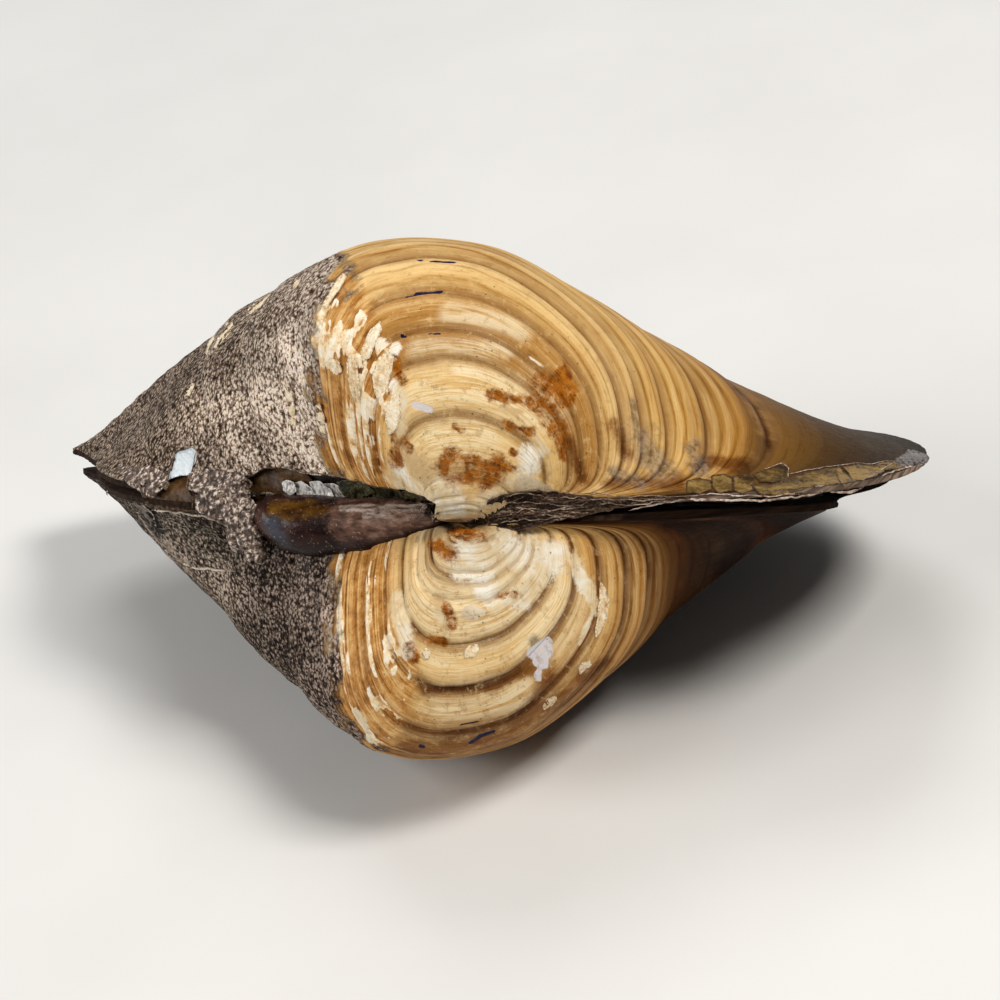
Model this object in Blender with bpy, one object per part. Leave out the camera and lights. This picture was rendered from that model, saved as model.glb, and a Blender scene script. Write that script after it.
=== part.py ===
"""Swollen river mussel shell: two closed valves, the torn ligament and its crumbly stub.

The valves are worked out in the shell's own axes: +X anterior, +Y ventral, +Z towards the left
valve, origin at the beaks, commissure in the plane z = 0. Each growth line is the outline of the
shell at one age, shrunk towards the beak and coiled up about an axis oblique to the hinge. The
whole shell is then laid on its right valve, with the origin under the middle of it.
"""
import math

import bmesh
import bpy
import numpy as np
from mathutils import Euler, Vector

MM = 0.001

# Outlines of the commissure, from under the beak round the anterior end, in millimetres.
ADULT_OUTLINE = (
    (-0.5, 2), (7.5, 3.5), (14, 7.5), (20, 12), (21.5, 21),
    (17.5, 31), (5.5, 38.5), (-11.5, 40), (-28, 36), (-42.5, 29),
    (-51.5, 22.5), (-48, 18.5), (-39.5, 10), (-28.5, 4), (-14, 2),
)
# The rounder outline of the young shell at the same scale; its front hinge line is the adult one.
YOUNG_OUTLINE = ADULT_OUTLINE[:3] + (
    (17.5, 12.5), (17.5, 19), (12.5, 27), (2.5, 35),
    (-13.5, 38), (-23, 36.5), (-31.5, 32), (-37, 26),
    (-38.5, 18.5), (-34.5, 8.5), (-23, 3.5), (-11, 2),
)
YOUNG_AGE = 0.66              # age, as -ln(scale), from which the outline is the young one

# Coiling of the umbo.
COIL_AXIS = math.radians(36)  # angle of the coiling axis to the hinge line
COIL_LIMIT = math.radians(165)
COIL_AGE = 1.35
COIL_POWER = 1.5
HINGE_BLEND = 8.0             # distance below the hinge over which the coiling sets in, mm
HINGE_POWER = 3.0
LEVER_SOFTNESS = 4.0          # rounds off the change to the uncoiled front end of the hinge, mm
UMBO_OVERHANG = 0.65          # how far the umbo leans out over the hinge, as a share of full coiling
BEAK_AGE = 3.1

# Growth bands between the rest rings, from the margin to the beak.
REST_RINGS = (0.0, 0.34, 0.48, 0.65, 0.82, 0.93, 1.10, 1.26, 1.42, 1.65, 1.95)
BAND_BULGE = 0.30             # height of a band above its rings at full size, mm
BAND_FULLNESS = 0.7           # the lower, the flatter the top of a band
BAND_FADE = 0.5               # how fast the bands get lower with age
BAND_STEPS = (0.0, 0.2, 0.6)
BEAK_ROWS = 4
BULGE_HEIGHT = 4.0            # the bands fade out below this height, towards the hinge, mm
COLUMNS = 50

# Wall of the valve.
EDGE = 0.4                    # height of the blunt margin, mm
LIFT_FADE = 3.0               # height over which the margin's lift fades out up the flank, mm
HINGE_PLATE = 3.6
CAVITY_LENGTH = 0.93
CAVITY_HEIGHT = 0.87
CAVITY_DEPTH = 0.90
CAVITY_CENTRE_X = -12.0
CAVITY_AGES = 10
CAVITY_LAST_AGE = 1.2
CAVITY_COLUMNS = 30
CAVITY_MOUTH = 1.5            # how far the cutter sticks out of the mouth, mm

# How the two valves sit.
VALVE_GAP = 0.2               # distance of each valve from the commissure plane, mm
GAPE = math.radians(1.0)      # how far each valve is open
RIGHT_SCALE = 0.975           # the right valve's margin lies a little inside the left one's

# The ligament, seated on the right valve behind the beaks: centre, half depth (y), half height (z), mm.
LIGAMENT_FRONT = (-1.8, 0.2, -0.25)
LIGAMENT_BACK = (-18.9, 2.2, -1.75)
LIGAMENT_HALF_DEPTH = 1.9
LIGAMENT_HALF_HEIGHT = 2.15
LIGAMENT_ARCH = 0.5           # how far its middle bows down, mm
LIGAMENT_TIP = 0.3            # distance of the first and last ring from the ends, in rings
LIGAMENT_TAPER = 0.55
LIGAMENT_BLUNTNESS = 9
LIGAMENT_ROWS = 18
LIGAMENT_COLUMNS = 16

# Its crumbled back end.
STUB_CENTRE = (-20.7, 2.5, -1.6)
STUB_RADII = (1.2, 1.7, 2.2)
LUMP_ROUGHNESS = 0.25
LUMP_ROWS = 11
LUMP_COLUMNS = 12

# Notches broken out of the left valve's margin behind the beaks: centre and radii, mm.
MARGIN_NOTCHES = (
    ((-28.6, 3.6, 0.7), (1.9, 2.4, 1.7)),
    ((-19.6, 1.9, 0.7), (1.6, 2.1, 1.5)),
)

# A seat is the valve's outer solid made this much larger about a point inside it.
SEAT_SCALE = 1.024
SEAT_CENTRE = (-12.0, 15.0, 6.0)

# Lean of the shell where it lies on the flank of its right valve: about its length, then across.
REST_ROLL = math.radians(-25.8)
REST_PITCH = math.radians(-3.7)


def closed_spline(corners, around):
    """Points of the smooth closed curve through the corners; around runs from 0 to 1."""
    corners = np.asarray(corners, float)
    count = len(corners)
    unit = np.eye(count)
    system = 4 * unit + np.roll(unit, 1, axis=1) + np.roll(unit, -1, axis=1)
    slopes = np.linalg.solve(system, 3 * (np.roll(corners, -1, axis=0) - np.roll(corners, 1, axis=0)))
    place = np.asarray(around) * count
    start = np.floor(place).astype(int) % count
    end = (start + 1) % count
    t = (place - np.floor(place))[:, None]
    return (
        corners[start] * (1 + 2 * t) * (1 - t) ** 2
        + slopes[start] * t * (1 - t) ** 2
        + corners[end] * t * t * (3 - 2 * t)
        - slopes[end] * t * t * (1 - t)
    )


def growth_line(age, around):
    """The outer edge of the left valve when it was exp(-age) of its full size, in mm."""
    share = np.clip(age / YOUNG_AGE, 0, 1)
    share = share * share * (3 - 2 * share)
    adult, young = closed_spline(ADULT_OUTLINE, around), closed_spline(YOUNG_OUTLINE, around)
    outline = (1 - share) * adult + share * young
    x, y = outline[:, 0], outline[:, 1]
    cosine, sine = math.cos(COIL_AXIS), math.sin(COIL_AXIS)
    along = x * cosine + y * sine
    out = y * cosine - x * sine
    freedom = 1 - np.exp(-((np.clip(y, 0, None) / HINGE_BLEND) ** HINGE_POWER))
    lever = 0.5 * (out + np.hypot(out, LEVER_SOFTNESS)) * freedom
    turn = COIL_LIMIT * (1 - math.exp(-((age / COIL_AGE) ** COIL_POWER)))
    swing = math.cos(turn)
    if swing < 0:
        swing = swing * UMBO_OVERHANG
    out = out - lever + lever * swing
    height = lever * math.sin(turn)
    line = np.stack([along * cosine - out * sine, along * sine + out * cosine, height], axis=1)
    return math.exp(-age) * line


def band_rows():
    """Ages and bulge heights of the rows of the outer surface."""
    rows = []
    for ring, older in zip(REST_RINGS[:-1], REST_RINGS[1:]):
        for step in BAND_STEPS:
            age = ring + step * (older - ring)
            bulge = BAND_BULGE * math.sin(math.pi * step) ** BAND_FULLNESS * math.exp(-BAND_FADE * age)
            rows.append((age, bulge))
    for age in np.linspace(REST_RINGS[-1], BEAK_AGE, BEAK_ROWS):
        rows.append((age, 0.0))
    return rows


def grid_mesh(name, rings):
    """A closed mesh from rings of equal length, with a fan over the first and the last ring."""
    mesh = bmesh.new()
    rows = [[mesh.verts.new(point) for point in ring] for ring in rings]
    count = len(rows[0])
    for upper, lower in zip(rows[:-1], rows[1:]):
        for i in range(count):
            j = (i + 1) % count
            mesh.faces.new((upper[i], upper[j], lower[j], lower[i]))
    mesh.faces.new(list(reversed(rows[0])))
    tip = mesh.verts.new(np.mean(rings[-1], axis=0))
    for i in range(count):
        mesh.faces.new((rows[-1][i], rows[-1][(i + 1) % count], tip))
    bmesh.ops.recalc_face_normals(mesh, faces=mesh.faces)
    bmesh.ops.triangulate(mesh, faces=mesh.faces)
    data = bpy.data.meshes.new(name)
    mesh.to_mesh(data)
    mesh.free()
    return data


def row_normals(rings):
    """Unit normals of a grid of rings, pointing out of the valve."""
    grid = np.array(rings)
    round_step = np.roll(grid, -1, axis=1) - np.roll(grid, 1, axis=1)
    age_step = np.gradient(grid, axis=0)
    normals = np.cross(round_step, age_step)
    lengths = np.linalg.norm(normals, axis=2, keepdims=True)
    return normals / np.maximum(lengths, 1e-9)


def outer_rings():
    """Rings of the outer surface of the left valve, in mm, from the margin to the beak."""
    around = np.arange(COLUMNS) / COLUMNS
    rows = band_rows()
    rings = [growth_line(age, around) for age, _ in rows]
    normals = row_normals(rings)
    shaped = []
    for ring, normal, (_, bulge) in zip(rings, normals, rows):
        height = ring[:, 2:]
        lift = (EDGE + VALVE_GAP) * np.exp(-height / LIFT_FADE) - VALVE_GAP
        free = np.clip(height / BULGE_HEIGHT, 0, 1)
        shaped.append(ring + normal * bulge * free + lift * np.array([0, 0, 1]))
    margin = shaped[0] * np.array([1, 1, 0])
    return [margin] + shaped


def cavity_rings():
    """Rings of the hollow inside the left valve, in mm, from below its mouth up to the umbo."""
    around = np.arange(CAVITY_COLUMNS) / CAVITY_COLUMNS
    rings = []
    for step in range(CAVITY_AGES):
        ring = growth_line(CAVITY_LAST_AGE * step / (CAVITY_AGES - 1), around)
        ring[:, 0] = CAVITY_CENTRE_X + CAVITY_LENGTH * (ring[:, 0] - CAVITY_CENTRE_X)
        ring[:, 1] = HINGE_PLATE + CAVITY_HEIGHT * ring[:, 1]
        ring[:, 2] = CAVITY_DEPTH * ring[:, 2]
        rings.append(ring)
    mouth = rings[0].copy()
    mouth[:, 2] = -CAVITY_MOUTH
    return [mouth] + rings


def seat_rings():
    """The outer surface of the left valve, slightly enlarged."""
    centre = np.array(SEAT_CENTRE)
    return [centre + SEAT_SCALE * (ring - centre) for ring in outer_rings()]


def ligament_rings():
    """Rings of the ligament, a spindle that is thin at the beaks and blunt behind, in metres."""
    front, back = np.array(LIGAMENT_FRONT), np.array(LIGAMENT_BACK)
    angle = 2 * math.pi * np.arange(LIGAMENT_COLUMNS) / LIGAMENT_COLUMNS
    rings = []
    for step in range(LIGAMENT_ROWS):
        place = (step + LIGAMENT_TIP) / (LIGAMENT_ROWS - 1 + 2 * LIGAMENT_TIP)
        centre = front + place * (back - front)
        centre[2] -= LIGAMENT_ARCH * math.sin(math.pi * place)
        fullness = place ** LIGAMENT_TAPER * math.sqrt(1 - place ** LIGAMENT_BLUNTNESS)
        ring = np.empty((LIGAMENT_COLUMNS, 3))
        ring[:, 0] = centre[0]
        ring[:, 1] = centre[1] + LIGAMENT_HALF_DEPTH * fullness * np.cos(angle)
        ring[:, 2] = centre[2] + LIGAMENT_HALF_HEIGHT * fullness * np.sin(angle)
        rings.append(ring * MM)
    return rings


def lump_rings(centre, radii):
    """Rings of an uneven lump about a centre, in metres."""
    angle = 2 * math.pi * np.arange(LUMP_COLUMNS) / LUMP_COLUMNS
    rings = []
    for step in range(LUMP_ROWS):
        polar = math.pi * (step + 0.5) / LUMP_ROWS
        uneven = 1 + LUMP_ROUGHNESS * np.sin(3 * angle + 5 * polar) * math.sin(4 * polar + 1)
        ring = np.empty((LUMP_COLUMNS, 3))
        ring[:, 0] = centre[0] + radii[0] * math.cos(polar)
        ring[:, 1] = centre[1] + radii[1] * math.sin(polar) * np.cos(angle) * uneven
        ring[:, 2] = centre[2] + radii[2] * math.sin(polar) * np.sin(angle) * uneven
        rings.append(ring * MM)
    return rings


def plain_material(name, colour, roughness):
    """A Principled material of one colour."""
    material = bpy.data.materials.new(name)
    material.use_nodes = True
    shader = material.node_tree.nodes["Principled BSDF"]
    shader.inputs["Base Color"].default_value = (*colour, 1)
    shader.inputs["Roughness"].default_value = roughness
    shader.inputs["Metallic"].default_value = 0
    material.diffuse_color = (*colour, 1)
    return material


def add_object(name, data, parent, material=None):
    """Link a mesh as an object under the parent."""
    thing = bpy.data.objects.new(name, data)
    bpy.context.scene.collection.objects.link(thing)
    thing.parent = parent
    if material:
        data.materials.append(material)
    return thing


def hide_cutter(thing):
    """Mark an object as a cutter, which isn't part of the shell."""
    thing.hide_render = True
    thing.display_type = "WIRE"


def cut(thing, cutter):
    """Take the cutter's shape out of the object."""
    modifier = thing.modifiers.new("Cut " + cutter.name, "BOOLEAN")
    modifier.operation = "DIFFERENCE"
    modifier.solver = "EXACT"
    modifier.object = cutter


def placed(rings, side):
    """Rings moved to one valve's place, side +1 for the left valve and -1 for the right, in metres."""
    cosine, sine = math.cos(GAPE), math.sin(GAPE)
    scale = 1 if side > 0 else RIGHT_SCALE
    result = []
    for ring in rings:
        x, y, z = scale * ring[:, 0], scale * ring[:, 1], ring[:, 2]
        turned = np.stack([x, y * cosine - z * sine, side * (y * sine + z * cosine + VALVE_GAP)], axis=1)
        result.append(turned * MM)
    return result


def add_valve(name, side, colour, parent):
    """One valve: its outer solid less the hollow."""
    outer = add_object(name, grid_mesh(name, placed(outer_rings(), side)), parent,
                       plain_material(name + "_shell", colour, 0.55))
    hollow = add_object(name + "_hollow", grid_mesh(name + "_hollow", placed(cavity_rings(), side)), parent)
    hide_cutter(hollow)
    cut(outer, hollow)
    return outer


def break_margin(valve, parent):
    """Cut the broken notches out of the left valve's margin."""
    for number, (centre, radii) in enumerate(MARGIN_NOTCHES, 1):
        name = f"margin_notch_{number}"
        notch = add_object(name, grid_mesh(name, lump_rings(centre, radii)), parent)
        hide_cutter(notch)
        cut(valve, notch)


def add_seats(parent):
    """Enlarged copies of both valves, which keep the ligament clear of them."""
    seats = []
    for name, side in (("left_seat", 1), ("right_seat", -1)):
        seat = add_object(name, grid_mesh(name, placed(seat_rings(), side)), parent)
        hide_cutter(seat)
        seats.append(seat)
    return seats


def add_ligament(seats, parent):
    """The horny ligament and its crumbled back end."""
    horn = plain_material("ligament_horn", (0.06, 0.03, 0.025), 0.25)
    crumb = plain_material("ligament_crumb", (0.25, 0.18, 0.16), 0.9)
    spindle = add_object("ligament", grid_mesh("ligament", ligament_rings()), parent, horn)
    stub_data = grid_mesh("ligament_stub", lump_rings(STUB_CENTRE, STUB_RADII))
    stub = add_object("ligament_stub", stub_data, parent, crumb)
    for seat in seats:
        cut(spindle, seat)
        cut(stub, seat)


def remove_everything():
    """Empty the scene."""
    for thing in list(bpy.data.objects):
        bpy.data.objects.remove(thing, do_unlink=True)


def stand_on_floor(shell):
    """Move the shell so that the middle of its underside is at the origin."""
    bpy.context.view_layer.update()
    solids = [thing for thing in shell.children if not thing.hide_render]
    points = np.array([thing.matrix_world @ vertex.co for thing in solids for vertex in thing.data.vertices])
    low, high = points.min(axis=0), points.max(axis=0)
    shell.location = Vector((-(low[0] + high[0]) / 2, -(low[1] + high[1]) / 2, -low[2]))


def main():
    remove_everything()
    shell = bpy.data.objects.new("shell", None)
    bpy.context.scene.collection.objects.link(shell)
    shell.rotation_euler = Euler((REST_ROLL, REST_PITCH, 0))
    left_valve = add_valve("left_valve", 1, (0.55, 0.40, 0.22), shell)
    break_margin(left_valve, shell)
    add_valve("right_valve", -1, (0.42, 0.30, 0.18), shell)
    add_ligament(add_seats(shell), shell)
    stand_on_floor(shell)


main()
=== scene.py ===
import math

import bpy
import numpy as np
from mathutils import Matrix, Vector
from mathutils.kdtree import KDTree


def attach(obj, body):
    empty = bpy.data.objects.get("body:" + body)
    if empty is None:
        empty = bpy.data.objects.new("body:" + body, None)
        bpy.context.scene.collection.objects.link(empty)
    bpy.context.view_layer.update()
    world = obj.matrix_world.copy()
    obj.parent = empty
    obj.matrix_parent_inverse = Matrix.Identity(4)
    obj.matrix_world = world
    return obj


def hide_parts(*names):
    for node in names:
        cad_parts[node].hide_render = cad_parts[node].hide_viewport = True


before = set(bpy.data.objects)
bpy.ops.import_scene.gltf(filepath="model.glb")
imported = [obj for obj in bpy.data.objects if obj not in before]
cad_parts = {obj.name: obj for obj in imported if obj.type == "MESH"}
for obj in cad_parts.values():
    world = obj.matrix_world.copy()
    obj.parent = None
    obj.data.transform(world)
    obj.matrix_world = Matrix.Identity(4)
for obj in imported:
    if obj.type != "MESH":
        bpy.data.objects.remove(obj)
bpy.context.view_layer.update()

MM = 0.001

# The smooth surface of the valves, with the same values as the solids.
ADULT_OUTLINE = (
    (-0.5, 2), (7.5, 3.5), (14, 7.5), (20, 12), (21.5, 21),
    (17.5, 31), (5.5, 38.5), (-11.5, 40), (-28, 36), (-42.5, 29),
    (-51.5, 22.5), (-48, 18.5), (-39.5, 10), (-28.5, 4), (-14, 2),
)
YOUNG_OUTLINE = ADULT_OUTLINE[:3] + (
    (17.5, 12.5), (17.5, 19), (12.5, 27), (2.5, 35),
    (-13.5, 38), (-23, 36.5), (-31.5, 32), (-37, 26),
    (-38.5, 18.5), (-34.5, 8.5), (-23, 3.5), (-11, 2),
)
YOUNG_AGE = 0.66
COIL_AXIS = math.radians(36)
COIL_LIMIT = math.radians(165)
COIL_AGE = 1.35
COIL_POWER = 1.5
HINGE_BLEND = 8.0
HINGE_POWER = 3.0
LEVER_SOFTNESS = 4.0
UMBO_OVERHANG = 0.65
BEAK_AGE = 3.1
BEAK_DROOP = (-0.7, -0.3, -1.0)
FRONT_RISE = -0.25
BULGE_HEIGHT = 4.0
EDGE = 0.4
HINGE_PLATE = 3.6
CAVITY_LENGTH = 0.93
CAVITY_HEIGHT = 0.87
CAVITY_DEPTH = 0.90
CAVITY_CENTRE_X = -12.0
CAVITY_LAST_AGE = 1.2
LIFT_FADE = 3.0
VALVE_GAP = 0.2
GAPE = math.radians(1.0)
RIGHT_SCALE = 0.975

# Where the front end bends down, as ranges along the three axes in mm.
FRONT_BEND_X = (12, 22)
FRONT_BEND_Y = (7, 21)
FRONT_BEND_Z = (0.5, 3.5)

# The side of the commissure that a valve is on.
LEFT = 1
RIGHT = -1

# The growth bands, the ribs between them and the wrinkles at the beaks; places are ages, heights in mm.
RINGS = {
    LEFT: (
        0.0, 0.34, 0.5, 0.66, 0.8, 0.925, 1.1, 1.26, 1.38, 1.66, 2.15, 2.7, 3.1,
    ),
    RIGHT: (
        0.0, 0.34, 0.6, 0.78, 0.93, 1.14, 1.36, 1.58, 2.1, 2.7, 3.1,
    ),
}
RIBS = {
    LEFT: (
        0.0, 0.06, 0.12, 0.17, 0.22, 0.27, 0.305, 0.34, 0.38, 0.42, 0.46, 0.5, 0.54, 0.58, 0.62, 0.66,
        0.705, 0.75, 0.8, 0.86, 0.925, 0.98, 1.04, 1.1, 1.175, 1.25, 1.31, 1.38, 1.44, 1.5, 1.58, 1.66, 1.8,
        1.95, 2.12, 2.3, 3.1,
    ),
    RIGHT: (
        0.0, 0.06, 0.12, 0.18, 0.24, 0.29, 0.34, 0.39, 0.44, 0.49, 0.545, 0.6, 0.65, 0.69, 0.735, 0.78,
        0.83, 0.88, 0.93, 0.99, 1.06, 1.13, 1.2, 1.27, 1.34, 1.41, 1.48, 1.55, 1.62, 1.69, 1.76, 1.86, 1.96,
        2.12, 2.3, 3.1,
    ),
}
BAND_HEIGHT = {LEFT: 0.36, RIGHT: 0.5}
BAND_SKEW = 0.65
BAND_FULLNESS = 0.8
RING_DEPTH = {LEFT: 0.10, RIGHT: 0.04}
GROOVE_WIDTH = 0.006
FIRST_GROOVE_AGE = 0.05
TROUGH_WIDTH = 0.034
RIB_HEIGHT = 0.10
LINE_HEIGHT = 0.02

# First age, pitch and height of the wrinkles at each beak.
BEAK_WRINKLES = {LEFT: (2.15, 0.16, 0.12), RIGHT: (1.66, 0.145, 0.17)}

# Heights of the crust, the scales and the marks, in mm.
CRUST_HEIGHT = 0.12
SCALE_HEIGHT = 0.10
CHIP_HEIGHT = 0.07
SLIT_DEPTH = 0.06
PEARL_DEPTH = 0.04

# How far the margin is chipped, torn and worn, as ages, and where around it.
CHIPPED_AGE = 0.006
TORN_AGE = 0.030
TORN_AROUND = (0.66, 0.80)
WORN_AGE = 0.20
WORN_AROUND = (0.19, 0.42)

# Where the crust and the loose scales begin and end, by age and around.
CRUST_AGE = 0.88
CRUST_FADE = (-0.12, 0.14)
CRUST_FRONT = (0.655, 0.69)
CRUST_HINGE = (0.985, 0.999)
SCALES_FIRST_AGE = (0.80, 0.92)
SCALES_LAST_AGE = 1.62
SCALES_FADE = 0.3
SCALES_FRONT = (0.66, 0.71)
SCALES_BACK = 0.86
SCALES_BACK_FADE = 0.04

# The ages at which the left beak droops, and where the marks' edges are on their masks.
DROOP_AGES = (1.7, 2.7)
MARK_EDGE = (0.42, 0.58)
SLIT_EDGE = (0.3, 0.6)
SHOWN_FACING = (0.0, 0.15)
SURFACE_SEED = {LEFT: 100, RIGHT: 200}

# Where the beaks are in the row's frame, and how the shell leans.
BEAK_PLACE = np.array((14.498, -13.953, 21.946))
REST_ROLL = math.radians(-25.8)
REST_PITCH = math.radians(-3.7)

# The photograph's camera, about the beaks, in the shell's own axes.
PHOTO_SIZE = 1000
PHOTO_SCALE = 15.129
PHOTO_DISTANCE = 252.2
PHOTO_BEAK = (470.65, 515.76)
PHOTO_AZIMUTH = math.radians(34.07)
PHOTO_ELEVATION = math.radians(7.61)
PHOTO_ROLL = math.radians(3.35)
SENSOR_WIDTH = 36.0

LEAN = np.array((
    (math.cos(REST_PITCH), 0, math.sin(REST_PITCH)),
    (0, 1, 0),
    (-math.sin(REST_PITCH), 0, math.cos(REST_PITCH)),
)) @ np.array((
    (1, 0, 0),
    (0, math.cos(REST_ROLL), -math.sin(REST_ROLL)),
    (0, math.sin(REST_ROLL), math.cos(REST_ROLL)),
))


def row_place(points):
    """Points in the shell's own axes, in mm, moved to the row's frame, in metres."""
    moved = (points @ LEAN.T + BEAK_PLACE) * MM
    moved[..., 2] = np.maximum(moved[..., 2], 0)
    return moved


def photo_axes():
    """The photograph's right, up and forward directions in the shell's own axes."""
    cos_a, sin_a = math.cos(PHOTO_AZIMUTH), math.sin(PHOTO_AZIMUTH)
    cos_e, sin_e = math.cos(PHOTO_ELEVATION), math.sin(PHOTO_ELEVATION)
    forward = np.array((-sin_a * cos_e, cos_a * cos_e, -sin_e))
    right = np.array((cos_a, sin_a, 0))
    up = np.cross(right, forward)
    cos_r, sin_r = math.cos(PHOTO_ROLL), math.sin(PHOTO_ROLL)
    return right * cos_r - up * sin_r, right * sin_r + up * cos_r, forward


def photo_pixels(points):
    """Where points in the shell's own axes show in the photograph, in pixels."""
    right, up, forward = photo_axes()
    scale = PHOTO_SCALE * PHOTO_DISTANCE / (PHOTO_DISTANCE + points @ forward)
    return np.stack([PHOTO_BEAK[0] + points @ right * scale, PHOTO_BEAK[1] - points @ up * scale], axis=-1)


def from_photo(pixels, depth):
    """Points in the shell's own axes that show at the pixels; depth is in mm towards the camera."""
    right, up, forward = photo_axes()
    across = (pixels[..., 0:1] - PHOTO_BEAK[0]) / (PHOTO_SCALE * PHOTO_DISTANCE)
    down = (pixels[..., 1:2] - PHOTO_BEAK[1]) / (PHOTO_SCALE * PHOTO_DISTANCE)
    ray = forward + across * right - down * up
    return (PHOTO_DISTANCE - np.asarray(depth)[..., None]) * ray - PHOTO_DISTANCE * forward


def lattice(cells, seed):
    """A fixed number from 0 to 1 for each whole-number cell."""
    mixed = cells[..., 0] * 73856093 ^ cells[..., 1] * 19349663 ^ cells[..., 2] * 83492791 ^ seed * 49979687
    mixed = (mixed ^ (mixed >> 13)) * 1274126177 & 0xFFFFFFFF
    mixed = (mixed ^ (mixed >> 16)) * 668265263 & 0xFFFFFFFF
    return ((mixed >> 8) & 0xFFFF) / 65535.0


def noise(points, size, seed=0, octaves=1):
    """Smooth noise about 0, from -1 to 1, with features of the given size; each octave is half as large."""
    total, share, result = 0.0, 1.0, 0.0
    for octave in range(octaves):
        place = points / size * 2 ** octave
        cell = np.floor(place).astype(np.int64)
        t = place - cell
        t = t * t * (3 - 2 * t)
        value = 0.0
        for corner in range(8):
            step = np.array((corner & 1, corner >> 1 & 1, corner >> 2))
            weight = np.prod(np.where(step, t, 1 - t), axis=-1)
            value = value + weight * lattice(cell + step, seed + 17 * octave)
        result = result + share * (2 * value - 1)
        total += share
        share *= 0.5
    return result / total


def smooth(value, low, high):
    """A smooth step from 0 at low to 1 at high."""
    t = np.clip((value - low) / (high - low), 0, 1)
    return t * t * (3 - 2 * t)


def closed_spline(corners, around):
    """Points of the smooth closed curve through the corners; around runs from 0 to 1."""
    corners = np.asarray(corners, float)
    count = len(corners)
    unit = np.eye(count)
    system = 4 * unit + np.roll(unit, 1, axis=1) + np.roll(unit, -1, axis=1)
    slopes = np.linalg.solve(system, 3 * (np.roll(corners, -1, axis=0) - np.roll(corners, 1, axis=0)))
    place = np.asarray(around) * count
    start = np.floor(place).astype(int) % count
    end = (start + 1) % count
    t = (place - np.floor(place))[..., None]
    return (
        corners[start] * (1 + 2 * t) * (1 - t) ** 2
        + slopes[start] * t * (1 - t) ** 2
        + corners[end] * t * t * (3 - 2 * t)
        - slopes[end] * t * t * (1 - t)
    )


def growth_surface(age, around):
    """Points of the smooth outer surface of the left valve, in mm; age and around have the same shape."""
    share = smooth(age, 0, YOUNG_AGE)[..., None]
    adult = closed_spline(ADULT_OUTLINE, around)
    young = closed_spline(YOUNG_OUTLINE, around)
    outline = (1 - share) * adult + share * young
    x = outline[..., 0]
    y = outline[..., 1]
    cosine, sine = math.cos(COIL_AXIS), math.sin(COIL_AXIS)
    along = x * cosine + y * sine
    out = y * cosine - x * sine
    freedom = 1 - np.exp(-((np.clip(y, 0, None) / HINGE_BLEND) ** HINGE_POWER))
    lever = 0.5 * (out + np.hypot(out, LEVER_SOFTNESS)) * freedom
    turn = COIL_LIMIT * (1 - np.exp(-((age / COIL_AGE) ** COIL_POWER)))
    swing = np.cos(turn)
    swing = np.where(swing < 0, swing * UMBO_OVERHANG, swing)
    out = out - lever + lever * swing
    scale = np.exp(-age)
    return np.stack([
        scale * (along * cosine - out * sine),
        scale * (along * sine + out * cosine),
        scale * lever * np.sin(turn),
    ], axis=-1)


def in_place(points, side):
    """Points of a valve turned by its gape and set on its side; its front end bends down a little."""
    cosine, sine = math.cos(GAPE), math.sin(GAPE)
    scale = 1 if side == LEFT else RIGHT_SCALE
    x, y, z = scale * points[..., 0], scale * points[..., 1], points[..., 2]
    rise = FRONT_RISE * smooth(x, *FRONT_BEND_X) * smooth(y, *FRONT_BEND_Y) * (1 - smooth(z, *FRONT_BEND_Z))
    height = side * (y * sine + z * cosine + VALVE_GAP) + rise
    return np.stack([x, y * cosine - z * sine, height], axis=-1)


def lifted(points):
    """Points of a smooth surface with the blunt margin's lift, which fades out up the flank."""
    result = points.copy()
    result[..., 2] += (EDGE + VALVE_GAP) * np.exp(-points[..., 2] / LIFT_FADE) - VALVE_GAP
    return result


def bump_between(value, low, high):
    """A smooth bump from 0 at low to 1 in the middle and 0 at high."""
    middle = (low + high) / 2
    return smooth(value, low, middle) * (1 - smooth(value, middle, high))


def margin_age(around, side):
    """Where the broken margin is, as an age: 0 where it is whole."""
    wobble = np.stack([around * 190, around * 0, around * 0], axis=-1)
    chips = CHIPPED_AGE * np.abs(noise(wobble, 1.5, 31 + side, 2))
    torn = TORN_AGE * bump_between(around, *TORN_AROUND) * np.abs(noise(wobble, 3.0, 41 + side, 3))
    worn = WORN_AGE * bump_between(around, *WORN_AROUND) if side == RIGHT else 0
    return chips + torn + worn


def grid_normals(points):
    """Unit normals of a grid whose rows are closed rings."""
    round_step = np.roll(points, -1, axis=1) - np.roll(points, 1, axis=1)
    age_step = np.gradient(points, axis=0)
    normals = np.cross(round_step, age_step)
    return normals / np.maximum(np.linalg.norm(normals, axis=2, keepdims=True), 1e-9)


def stroke_mask(pixels, strokes):
    """1 in the middle of the strokes, 0.5 at their radius, 0 at twice their radius; all in pixels."""
    best = np.zeros(pixels.shape[:-1])
    for x0, y0, x1, y1, radius in strokes:
        start = np.array((x0, y0), float)
        along = np.array((x1 - x0, y1 - y0), float)
        share = np.clip((pixels - start) @ along / max(along @ along, 1e-9), 0, 1)
        distance = np.linalg.norm(pixels - start - share[..., None] * along, axis=-1)
        best = np.maximum(best, np.clip(1 - distance / (2 * radius), 0, 1))
    return best


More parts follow.
